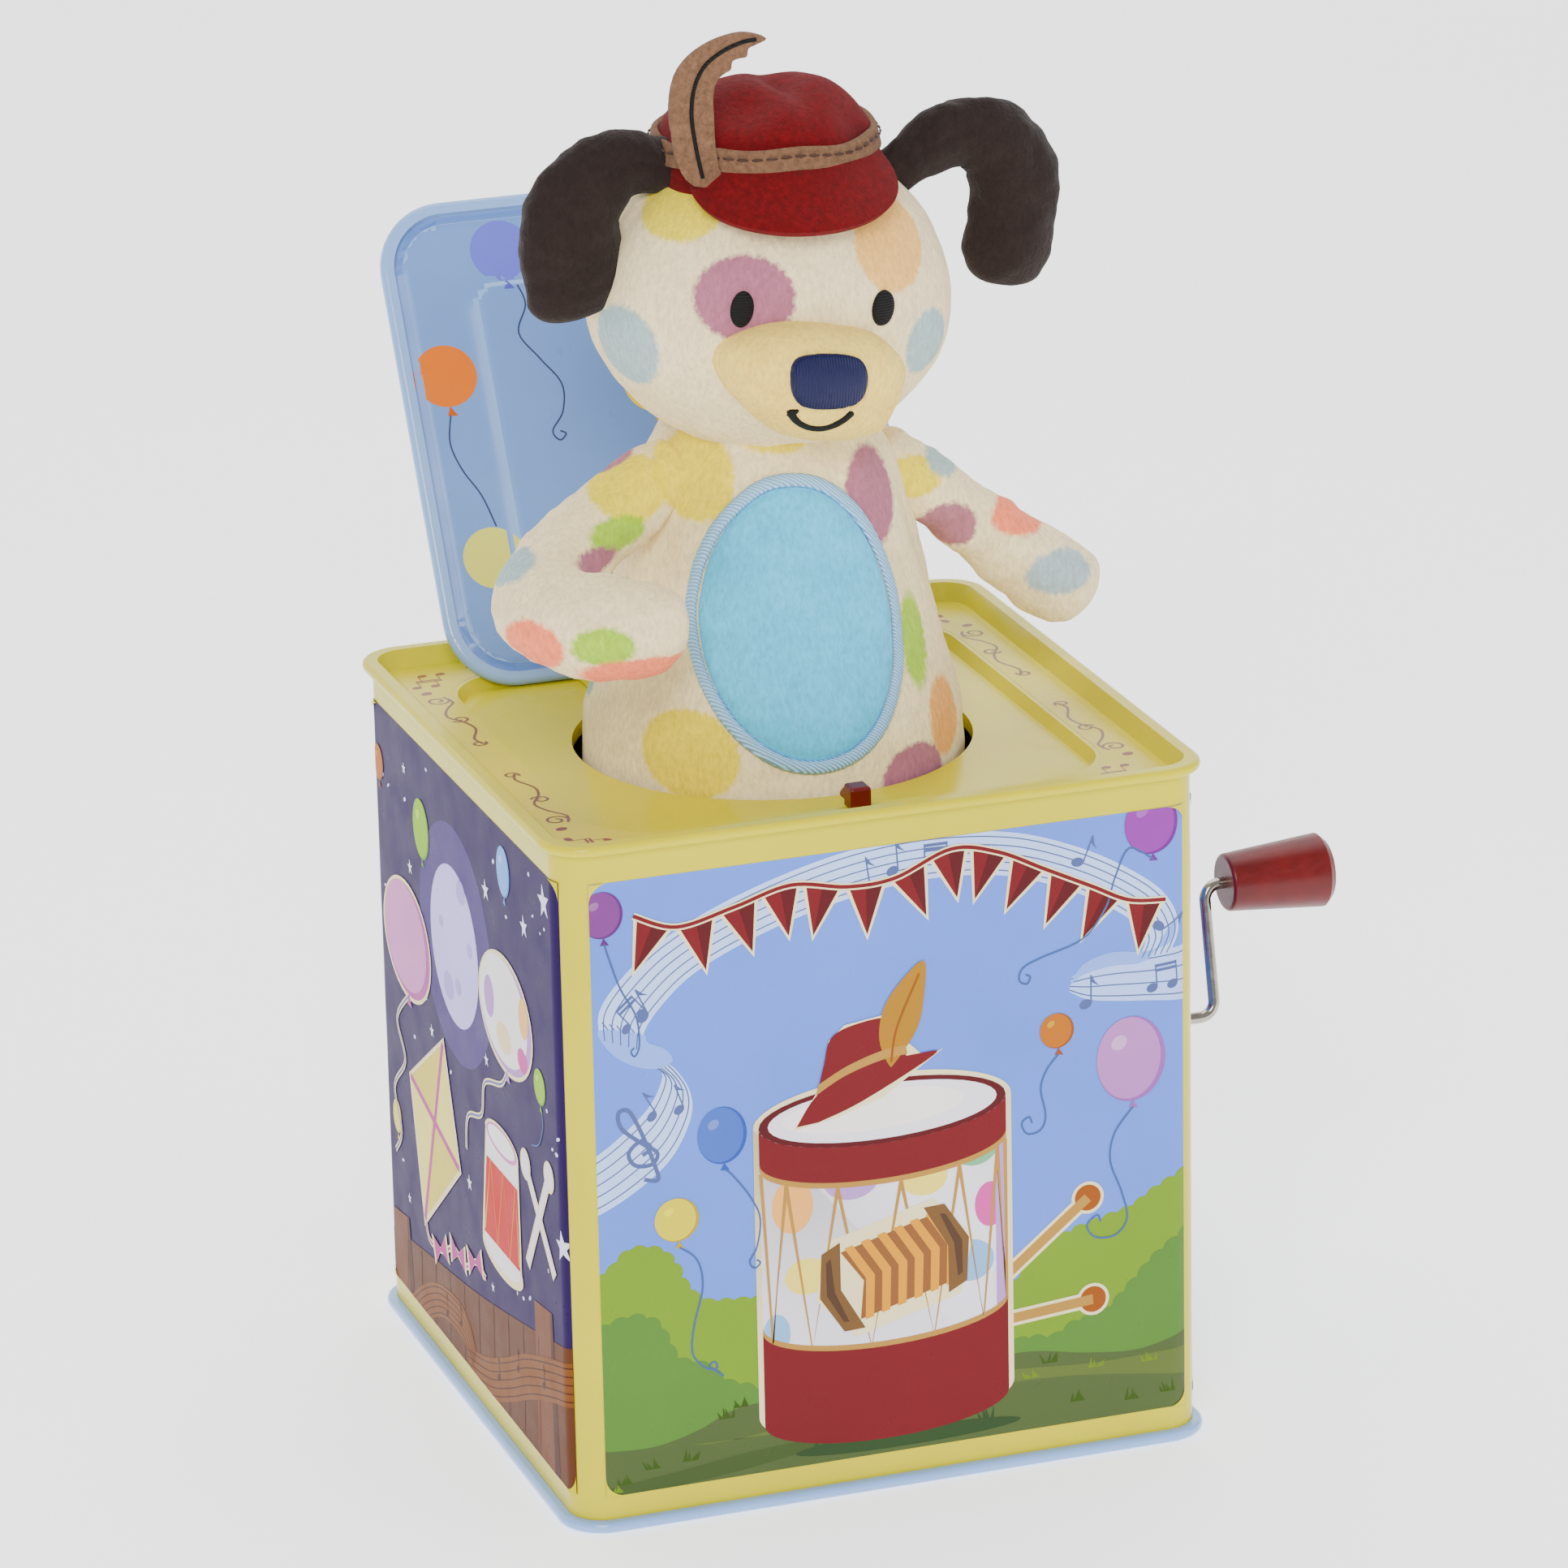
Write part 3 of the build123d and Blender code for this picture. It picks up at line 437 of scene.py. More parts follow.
class Print:
    """Flat artwork in layers, cut to a rectangle and then laid on a surface."""

    def __init__(self, name, low, high, lay, cuts):
        self.name, self.low, self.high, self.lay, self.cuts = name, low, high, lay, cuts
        self.shape = bmesh.new()
        self.codes = []
        self.laid = {}

    def _cut(self, piece, axis, at, way=1, clear=False):
        """Cuts a flat piece along a line; clear drops what lies beyond it."""
        co, no = [0, 0, 0], [0, 0, 0]
        co[axis], no[axis] = at, way
        geometry = piece.verts[:] + piece.edges[:] + piece.faces[:]
        bmesh.ops.bisect_plane(piece, geom=geometry, plane_co=co, plane_no=no, clear_outer=clear)

    def _take(self, piece, code, layer):
        """Trims a flat piece, lifts it clear of what it covers and lays it on the surface."""
        for axis in (0, 1):
            self._cut(piece, axis, self.low[axis], -1, True)
            self._cut(piece, axis, self.high[axis], 1, True)
        box = []
        for axis in (0, 1):
            values = [v.co[axis] for v in piece.verts]
            if not values:
                piece.free()
                return
            box.append((min(values), max(values)))
            for cut in self.cuts[axis]:
                if box[axis][0] < cut < box[axis][1]:
                    self._cut(piece, axis, cut)
        over = 0
        for other, step in self.laid.setdefault(layer, []):
            if all(mine[0] < theirs[1] and theirs[0] < mine[1] for mine, theirs in zip(box, other)):
                over = max(over, step + 1)
        self.laid[layer].append((box, over))
        if code not in self.codes:
            self.codes.append(code)
        piece.normal_update()
        piece.verts.index_update()
        height = layer + SUB_LAYER * over
        made = [self.shape.verts.new(self.lay(v.co.x, v.co.y, height + v.co.z)) for v in piece.verts]
        for f in piece.faces:
            corners = [v.index for v in f.verts]
            if f.normal.z < 0:
                corners.reverse()
            try:
                new = self.shape.faces.new([made[i] for i in corners])
            except ValueError:
                continue
            new.material_index = self.codes.index(code)
            new.smooth = True
        piece.free()

    def fill(self, points, code, layer):
        """A filled outline."""
        piece = bmesh.new()
        verts = [piece.verts.new((x, y, 0)) for x, y in points]
        edges = [piece.edges.new((verts[i - 1], verts[i])) for i in range(len(verts))]
        bmesh.ops.triangle_fill(piece, edges=edges, use_beauty=True, use_dissolve=False)
        self._take(piece, code, layer)

    def band(self, first, second, code, layer):
        """The strip between two lines with the same number of points."""
        piece = bmesh.new()
        # the strip rises along its way, so that it never lies in its own plane where it crosses itself
        rise = [0.3 * k / len(first) for k in range(len(first))]
        a = [piece.verts.new((x, y, z)) for (x, y), z in zip(first, rise)]
        b = [piece.verts.new((x, y, z)) for (x, y), z in zip(second, rise)]
        for i in range(len(a) - 1):
            piece.faces.new((a[i], b[i], b[i + 1], a[i + 1]))
        self._take(piece, code, layer)

    def stroke(self, points, width, code, layer, smooth=6):
        """A drawn line."""
        line = [Vector(p) for p in (smooth_line(points, smooth) if smooth else points)]
        first, second = [], []
        for i, p in enumerate(line):
            d = heading(line, i)
            w = width / 2
            first.append((p.x - d.y * w, p.y + d.x * w))
            second.append((p.x + d.y * w, p.y - d.x * w))
        self.band(first, second, code, layer)

    def finish(self, body, slot_name, shine=0.3):
        mesh = bpy.data.meshes.new(self.name)
        self.shape.to_mesh(mesh)
        self.shape.free()
        for code in self.codes:
            name = f"print_{code[1:]}" if shine > 0.1 else f"night_{code[1:]}"
            mesh.materials.append(bpy.data.materials.get(name) or tin(name, code, 0.3, 0.0, shine))
        made = add(self.name, mesh)
        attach(made, body)


LAYER = 0.018
HALF = 67.9
CORNER = 7.5
FLAT = HALF - CORNER
ARC = CORNER * math.pi / 2
SIDE = 2 * FLAT + ARC


def wrap(u, z, layer, turn):
    """A point on the outside of the box: u runs round it from the middle of the front."""
    lift = 0.07 + LAYER * layer
    u += turn * SIDE
    quarter = math.floor((u + FLAT) / SIDE)
    along = u - quarter * SIDE
    if along <= FLAT:
        x, y = along, -HALF - lift
    else:
        a = (along - FLAT) / CORNER
        x = FLAT + (CORNER + lift) * math.sin(a)
        y = -FLAT - (CORNER + lift) * math.cos(a)
    a = quarter * math.pi / 2
    return Vector((x * math.cos(a) - y * math.sin(a), x * math.sin(a) + y * math.cos(a), z)) * MM


PANEL_LOW = (-62.0, 7.4)
PANEL_HIGH = (64.2, 138.6)
ARC_CUTS = ([-60.4 - 0.45 * k for k in range(4)] + [60.4 + 0.45 * k for k in range(9)], ())


def new_panel(name, turn):
    """The artwork of one side, a number of quarter turns round from the front."""
    return Print(name, PANEL_LOW, PANEL_HIGH, lambda u, z, layer: wrap(u, z, layer, turn), ARC_CUTS)


def panel_corners(art):
    """Rounds the panel's corners with the border colour."""
    r = 4.0
    for x, sx in ((PANEL_LOW[0], 1), (PANEL_HIGH[0], -1)):
        for z, sz in ((PANEL_LOW[1], 1), (PANEL_HIGH[1], -1)):
            corner = [(x, z)]
            for k in range(CORNER_STEPS + 1):
                a = math.radians(90 * k / CORNER_STEPS)
                corner.append((x + sx * r * (1 - math.sin(a)), z + sz * r * (1 - math.cos(a))))
            art.fill(corner if sx * sz > 0 else corner[::-1], YELLOW_INK, 13)


def balloon(art, x, z, rx, rz, colours, string):
    """A party balloon with a shaded side, a glint, a knot and, if it has one, a string."""
    main, dark, light = colours
    art.fill(oval(x, z, rx, rz), dark, 6)
    art.fill(oval(x - rx * 0.07, z + rz * 0.03, rx * 0.93, rz * 0.96), main, 7)
    if light:
        art.fill(oval(x - rx * 0.35, z + rz * 0.42, rx * 0.24, rz * 0.16, 35), light, 8)
    art.fill([(x + 0.3, z - rz * 0.98), (x + 1.4, z - rz - 1.5), (x - 0.5, z - rz - 1.4)], dark, 6)
    if string:
        art.stroke([(x + 0.4, z - rz - 1.2), *string], 0.38, "#5C6C92", 7)


def quaver(art, x, z, size, code, layer, turn):
    """A single music note."""
    at = placer(x, z, turn, size)
    art.fill(oval(x, z, 1.45 * size, 1.05 * size, turn + 20, 18), code, layer)
    art.stroke([at(1.25, 0.2), at(1.25, 6.2)], 0.36 * size, code, layer, 0)
    tail = [at(1.1, 6.3), at(1.3, 6.6), at(2.2, 4.9), at(3.2, 3.8), at(2.1, 4.4), at(1.1, 5.0)]
    art.fill(tail, code, layer)


def beamed(art, x, z, size, code, layer, turn):
    """Two joined music notes."""
    at = placer(x, z, turn, size)
    for px in (0, 5.0):
        art.fill(oval(*at(px, 0), 1.4 * size, 1.05 * size, turn + 15, 18), code, layer)
        art.stroke([at(px + 1.2, 0.2), at(px + 1.2, 5.4)], 0.36 * size, code, layer, 0)
    for h in (5.4, 4.3):
        art.band([at(1.0, h), at(6.4, h)], [at(1.0, h - 0.7), at(6.4, h - 0.7)], code, layer)


def staff_band(art, outer, inner, paper, ink, layer, lines=5):
    """A ribbon of music paper between two edges."""
    a, b = smooth_line(outer, 8), smooth_line(inner, 8)
    art.band(a, b, paper, layer)
    for k in range(lines):
        t = 0.12 + 0.76 * k / (lines - 1)
        line = [(p[0] + (q[0] - p[0]) * t, p[1] + (q[1] - p[1]) * t) for p, q in zip(a, b)]
        art.stroke(line, 0.26, ink, layer + 1, 0)


def tufts(art, spots, code, layer, height=2.6):
    """Small tufts of grass."""
    pick = random.Random(7)
    for x, z in spots:
        for k in range(4):
            lean = pick.uniform(-1.3, 1.3)
            foot = x + (k - 1.5) * 0.8
            tall = height * pick.uniform(0.6, 1.15)
            art.fill([(foot - 0.45, z), (foot + 0.45, z), (foot + lean, z + tall)], code, layer)


def star(art, x, z, r):
    """A five-pointed star, turned a little."""
    points = []
    for k in range(10):
        a = math.radians(100 + 36 * k)
        d = r if k % 2 == 0 else r * 0.4
        points.append((x + d * math.cos(a), z + d * math.sin(a)))
    art.fill(points, "#E6E8F6", 3)


PAPER, INK, FOLD = "#C6D4F4", "#677094", "#9AAFE0"
PURPLE = ("#7F5086", "#663B74", "#98769C")
BLUE = ("#5F75B3", "#4A5F9D", "#818EBF")
GOLD = ("#D8CE18", "#B4A21E", "#E6E080")
ORANGE = ("#B27E4C", "#95643C", "#C4A860")
PINK = ("#B38AB8", "#986EA6", "#C7ABC9")
GREEN = ("#A5C255", "#86A544", "#C6DA8C")
PALE = ("#93B2DE", "#7897C8", "#B9CFEE")
CREAM, WHITE, MAUVE = "#E9E2C6", "#E9E6EC", "#B79CC6"
RED, DARK_RED, TAN = "#732F34", "#5D2529", "#B09468"


def day_scene(art):
    """Sky, hills, grass and a ribbon of music."""
    art.fill([(-63, 6), (65, 6), (65, 140), (-63, 140)], "#7D95D4", 0)
    # ribbon: a wide arch, with a fold and a tail at each end
    staff_band(
        art,
        [(-66, 79), (-58, 84), (-51, 90), (-48, 95.5), (-48.5, 98), (-53, 101), (-57, 104.5), (-61, 110)],
        [(-66, 67), (-56, 71.5), (-47, 78), (-42.3, 86), (-42, 92), (-45, 97.5), (-49, 101), (-53, 107)],
        PAPER, INK, 1,
    )
    left_fold = [
        (-60.8, 108), (-58.5, 103), (-54, 99.6), (-49, 98.2), (-45.6, 99.4), (-47, 102), (-50.6, 104),
        (-52, 106),
    ]
    art.fill(smooth_line(left_fold, 5, True), FOLD, 3)
    staff_band(
        art,
        [(-60.6, 106), (-60.5, 112), (-56, 118), (-48, 124.5), (-36, 130.5), (-20, 135.8), (-4, 139),
         (12, 139.6), (28, 137.5), (42, 132.3), (53, 126), (60, 120), (63, 113), (61, 107.5)],
        [(-52, 102.5), (-51, 107), (-47, 112), (-41, 117), (-31, 121.8), (-17, 126.4), (-2, 129.4),
         (12, 130.3), (26, 128.6), (38, 124.3), (47, 119.5), (53, 115), (55.5, 111), (54, 107)],
        PAPER, INK, 2,
    )
    tail_top = [(39.5, 105), (43, 107), (48, 108), (56, 108), (66, 108.6)]
    tail_foot = [(39, 102), (43, 99.8), (49, 98.6), (57, 97.6), (66, 96.4)]
    staff_band(art, tail_top, tail_foot, "#BECDF0", INK, 1, 4)
    right_fold = [
        (62.5, 115), (61.5, 110), (56, 108.4), (48, 109.2), (42, 107.4), (39.3, 103.6), (42, 105.2),
        (48, 106.2), (54, 106), (57, 107.5), (60, 112),
    ]
    art.fill(smooth_line(right_fold, 5, True), FOLD, 3)
    for x, z, size, turn in (
        (-4.5, 130.5, 0.95, 8), (1.5, 133, 0.95, 4), (41, 129.5, 0.95, -22), (58.5, 113.5, 0.95, -60),
        (42.5, 98.8, 0.95, 0), (-51.5, 109.5, 0.95, 25), (-50.2, 88.2, 0.85, 30), (-44.5, 88.8, 0.85, 20),
    ):
        quaver(art, x, z, size, INK, 4, turn)
    for x, z, size, turn in ((7.2, 132.6, 0.95, 0), (-55, 107.5, 0.85, 40), (57, 100.3, 0.9, 4)):
        beamed(art, x, z, size, INK, 4, turn)
    # treble clef
    art.stroke(
        [(-52.2, 75), (-49.3, 74.5), (-50, 78), (-52.5, 85), (-55, 90), (-57.2, 89.8), (-56.6, 86.5),
         (-52.5, 82.8), (-49.3, 80.3), (-50.5, 78), (-54, 78.3), (-55.3, 81), (-52.8, 83.2), (-50.6, 81.6),
         (-52.4, 80.2)],
        0.85, INK, 4,
    )
    # hills
    far_left = [
        (-64, 54), (-60, 56.5), (-56.5, 59.6), (-53.5, 60.2), (-49, 59), (-46, 55.5), (-44, 51),
        (-40, 46.8), (-33, 45.8), (-27, 45.2), (-22.5, 42), (-19, 39.6), (-15, 39.6), (-12.5, 36),
        (-9, 33.5), (-4, 31.5), (0, 29.5),
    ]
    far_right = [
        (4, 29.5), (10, 29.5), (14, 33.5), (18, 34.2), (24, 37), (29, 43), (34, 47.5), (40, 50), (46, 51.5),
        (52, 53), (57, 56), (61, 58), (66, 60),
    ]
    art.fill([(-64, 18), *scalloped(far_left, 0.9), *scalloped(far_right, 0.9), (66, 18)], "#899F5A", 1)
    near_left = [
        (-64, 43.5), (-56, 45.5), (-51, 44), (-48.5, 40), (-46, 35), (-40, 32.5), (-36, 28.5), (-31, 26.5),
        (-25, 23),
    ]
    near_right = [
        (18, 25), (24, 26.5), (29, 27.5), (35, 27), (40, 29.5), (46, 30.5), (50, 34), (53, 37), (57, 41),
        (61, 44), (66, 47),
    ]
    art.fill([(-64, 14), *scalloped(near_left, 1.0), (-24, 14)], "#6F8B5A", 2)
    art.fill([(20, 14), *scalloped(near_right, 1.0), (66, 14)], "#6F8B5A", 2)
    # grass, with lighter and darker sweeps
    ground = [
        (-64, 17.5), (-52, 16.8), (-42, 19), (-33, 22.5), (-15, 23), (8, 23.6), (28, 24.8), (42, 22.5),
        (54, 21.5), (66, 24.5),
    ]
    art.fill([(-64, 5), *smooth_line(ground, 6), (66, 5)], "#616C4F", 3)
    sweep = [(-40, 15.5), (-30, 16), (-15, 18.5), (0, 19.6), (-12, 17.2), (-26, 15.4)]
    art.fill([(-44, 16), *smooth_line(sweep, 5)], "#6F7A55", 4)
    for upper, lower, code in (
        ([(2, 20.5), (22, 21.5), (44, 20), (66, 20.5)],
         [(66, 14), (40, 17.8), (20, 18.5), (2, 18)], "#6F7A55"),
        ([(-64, 9), (-48, 10.5), (-30, 12.5), (-12, 13)],
         [(-14, 11.5), (-30, 9), (-50, 7.2), (-64, 7)], "#566345"),
    ):
        art.fill([*smooth_line(upper, 5), *smooth_line(lower, 5)], code, 4)
    dark_tufts = [
        (-58, 9.5), (-52, 12), (-44, 12.5), (-36, 20.5), (-33, 22.5), (-22, 20), (24, 20.5), (34, 21.5),
        (40, 12), (52, 10.5), (60, 11),
    ]
    tufts(art, dark_tufts, "#4E6132", 5)
    tufts(art, [(-60, 8), (30, 18.8), (44, 19), (56, 18.5)], "#7B8D4E", 5, 2.2)


def sky_balloons(art):
    """The balloons of the front panel, with their curling strings."""
    for x, z, rx, rz, colours, string in (
        (-59.5, 132, 4.4, 4.9, PURPLE,
         [(-58, 122), (-56, 116), (-53, 110), (-52.4, 104), (-53.4, 101.5), (-54.2, 102.5),
          (-53.5, 103.3)]),
        (57.0, 135.6, 5.8, 6.5, ("#8E4A9A", "#733684", "#A267AE"),
         [(52.2, 131), (49, 125), (47, 119), (42, 113), (33, 110.2), (29, 108.5), (28.2, 106), (29.8, 105),
          (30.6, 106.4), (29.6, 107)]),
        (-35.6, 82, 5.2, 6.1, BLUE,
         [(-33.5, 73), (-30, 68), (-28, 63), (-28.8, 57), (-30.4, 54), (-29.4, 52.4), (-28.2, 53.4),
          (-29, 54.2)]),
        (-45.6, 65.3, 4.7, 4.7, GOLD,
         [(-41.5, 56), (-40.5, 50), (-42.5, 42), (-43, 36), (-40.5, 32.5), (-38, 31.8), (-38.2, 33.3),
          (-39.4, 32.6), (-36.5, 30)]),
        (36.2, 94, 3.7, 3.8, ORANGE,
         [(34, 86), (32.6, 82), (33.6, 76), (32.4, 73), (29.6, 72.6), (28.4, 75), (30, 76.2),
          (30.6, 74.8)]),
        (52.3, 85.6, 7.5, 9.2, PINK,
         [(48.6, 70), (47.6, 64), (50, 57), (51.2, 51), (48.6, 47.6), (44.2, 47.8), (42.4, 50.6),
          (44.6, 52.6), (45.4, 51)]),
    ):
        balloon(art, x, z, rx, rz, colours, string)


def bunting(art):
    """Red pennants strung along the ribbon, where a title would be."""
    knots = [
        (-53, 131), (-44, 127.5), (-32, 130), (-20, 133), (-8, 131), (2, 131.5), (14, 136), (24, 134),
        (34, 129), (44, 124), (52, 120), (60, 119),
    ]
    cord = smooth_line(knots, 8)
    run = distances(cord)
    at = lambda d: tuple(float(np.interp(d, run, [p[axis] for p in cord])) for axis in (0, 1))
    count = 13
    step = run[-1] / count
    for k in range(count):
        a, b, m = at(step * k + 0.9), at(step * (k + 1) - 0.9), at(step * (k + 0.5))
        d = Vector((b[0] - a[0], b[1] - a[1])).normalized()
        down = Vector((d.y, -d.x))
        tip = (m[0] + down.x * 10.5, m[1] + down.y * 10.5)
        for grow, code, layer in ((0.8, CREAM, 5), (0.0, RED, 6)):
            pennant = [
                (a[0] - d.x * grow, a[1] - d.y * grow), (b[0] + d.x * grow, b[1] + d.y * grow),
                (tip[0] + down.x * grow * 1.6, tip[1] + down.y * grow * 1.6),
            ]
            art.fill(pennant, code, layer)
        art.fill([m, b, tip], DARK_RED, 7)
    art.stroke(cord, 1.5, CREAM, 8, 0)
    art.stroke(cord, 0.8, RED, 9, 0)


def drum_motif(art, x0, z0, k):
    """A spotted toy drum with a hat on it, a concertina and two sticks."""
    at = lambda x, z: (x0 + k * x, z0 + k * z)
    shift = lambda pts: [at(*p) for p in pts]
    side = lambda grow: shift(
        [(-27 - grow, 66), *oval(0, 2, 27 + grow, 7 + grow, 0, 30, 180, 360), (27 + grow, 66),
         *oval(0, 66, 27 + grow, 7 + grow, 0, 30, 0, 180)])
    # sticks
    for p, q in (((20, 20), (45, 40)), ((10, 14), (46, 17))):
        art.stroke(shift([p, q]), 3.6 * k, CREAM, 5, 0)
        art.stroke(shift([p, q]), 2.2 * k, TAN, 6, 0)
        art.fill(oval(*at(*q), 3.6 * k, 3.6 * k), CREAM, 5)
        art.fill(oval(*at(*q), 2.9 * k, 2.9 * k), ORANGE[1], 6)
    art.fill(side(1.2), CREAM, 6)
    art.fill(side(0), WHITE, 7)
    for x, z, rx, rz, code in (
        (-20, 48, 4.5, 6, "#E4B98A"), (-7, 53, 6.5, 5.5, "#B79CC6"), (9, 50, 5, 4, "#EBDD9C"),
        (20, 56, 5.5, 5, "#8FB79C"), (23.3, 42, 3.4, 5, "#C26AA0"), (-17, 32, 5, 4, "#EBDD9C"),
        (-24, 20, 3, 4.5, "#9CB9D6"), (19, 30, 5, 4.6, "#9CB9D6"), (0, 36, 4, 3.4, "#E4B98A"),
    ):
        art.fill(shift(oval(x, z, rx, rz)), code, 8)
    art.band(shift([(27, 66), (27, 2)]), shift([(24.5, 63), (24.5, -1.2)]), MAUVE, 8)

    def hoop(z, high, code, layer):
        lower = oval(0, z, 27, 7, 0, 30, 180, 360)
        art.band(shift([(x, y + high) for x, y in lower]), shift(lower), code, layer)

    hoop(0, 22, RED, 9)
    hoop(57, 9, RED, 9)
    hoop(57, 1.2, TAN, 10)
    hoop(20.8, 1.2, TAN, 10)
    for j in range(6):
        # a cord from the upper hoop down to the lower one and up again
        a, b, c = (math.radians(188 + 30 * (j + part)) for part in (0, 0.5, 1))
        c = min(c, math.radians(352))
        low = (27 * math.cos(b), 21 + 7 * math.sin(b))
        ends = [(27 * math.cos(e), 57 + 7 * math.sin(e)) for e in (a, c)]
        art.stroke(shift([ends[0], low, ends[1]]), 0.8 * k, TAN, 10, 0)
    art.fill(shift(oval(0, 66, 27, 7)), DARK_RED, 9)
    art.fill(shift(oval(0, 66, 25, 6)), WHITE, 10)
    art.fill(shift(oval(-2, 66.6, 20, 4.4)), "#F4F1EF", 11)
    concertina(art, shift)
    felt_hat(art, shift, k)


def concertina(art, shift):
    """A small six-fold concertina on the drum's side."""
    wood, dark, fold, shade = "#7A644C", "#5C4A3E", "#D0A45E", "#8D6B50"
    tilt = lambda pts: shift([(2 + px * 0.97 - pz * 0.26, 31 + px * 0.26 + pz * 0.97) for px, pz in pts])
    art.fill(tilt([(-17.9, 0), (-12, 11.4), (12, 11.4), (17.9, 0), (12, -11.4), (-12, -11.4)]), CREAM, 10)
    art.fill(tilt([(-10, 8), (10, 8), (13, 0), (10, -8), (-10, -8), (-7, 0)]), shade, 11)
    for j in range(6):
        x = -9 + j * 3.7
        pleat = [(x, 8.5), (x + 1.9, 8.5), (x + 4.6, 0.3), (x + 1.9, -8.5), (x, -8.5), (x + 2.6, 0.3)]
        art.fill(tilt(pleat), fold, 12)
    end = [(9.5, 10.2), (14, 9.2), (17, 0), (14, -9.2), (9.5, -10.2), (12.2, 0)]
    inset = [(12.4, 7.5), (13.6, 7), (15.4, 0), (13.6, -7), (12.4, -7.5), (13.6, 0)]
    for way in (-1, 1):
        art.fill(tilt([(way * px, pz) for px, pz in end]), wood, 12)
        art.fill(tilt([(way * px, pz) for px, pz in inset]), dark, 13)


def felt_hat(art, shift, k):
    """A felt hat with a feather, resting on the drum."""
    halo = [
        (-19.5, 64.5), (-14, 72.5), (-12.6, 76), (-11.5, 83), (-8, 86), (0, 87), (4, 86.4), (6, 80),
        (9.5, 76.5), (13.5, 78), (0, 69), (-10, 66),
    ]
    crown = [(-14.5, 70.5), (-12.6, 78), (-11, 83.5), (-6, 85.8), (2, 86), (4, 80), (6, 76.5)]
    brim = [
        (-18.8, 65.2), (-14.5, 71.3), (-8, 74.6), (2, 77), (9, 77.6), (12, 77.2), (4, 72.8), (-6, 68.2),
        (-14, 65.6),
    ]
    band_foot = [(-14.4, 71.6), (-8, 75), (0, 77.3), (5.6, 77.8)]
    band_top = [(-13.9, 73.8), (-7.6, 77), (0, 79.3), (5.2, 79.8)]
    feather = [(1.5, 76), (-0.5, 82), (0.8, 89), (5.5, 95), (9.6, 97.5), (9.4, 90), (7.8, 83), (3, 76.5)]
    art.fill(shift(halo), CREAM, 11)
    art.fill(shift([*smooth_line(crown, 5), (0, 73), (-8, 71.5)]), RED, 12)
    art.fill(shift(smooth_line(brim, 5)), RED, 12)
    art.band(shift(smooth_line(band_foot, 5)), shift(smooth_line(band_top, 5)), TAN, 13)
    art.fill(shift(smooth_line(feather, 5, True)), "#A88850", 13)
    art.stroke(shift([(2, 76.5), (3.4, 84), (8.4, 95)]), 0.5 * k, "#8E6424", 14)


def front_panel():
    """The day picture with a drum, balloons and bunting."""
    art = new_panel("print_front", 0)
    day_scene(art)
    art.fill(oval(3, 10.2, 24.5, 1.9), "#45573E", 5)
    tufts(art, [(-8, 11), (1, 11), (11, 11), (20, 11), (-16, 10.5)], "#45573E", 6, 3.6)
    drum_motif(art, -1.5, 17.5, 0.98)
    sky_balloons(art)
    bunting(art)
    panel_corners(art)
    art.finish("box", "printed_tin", 0.16)


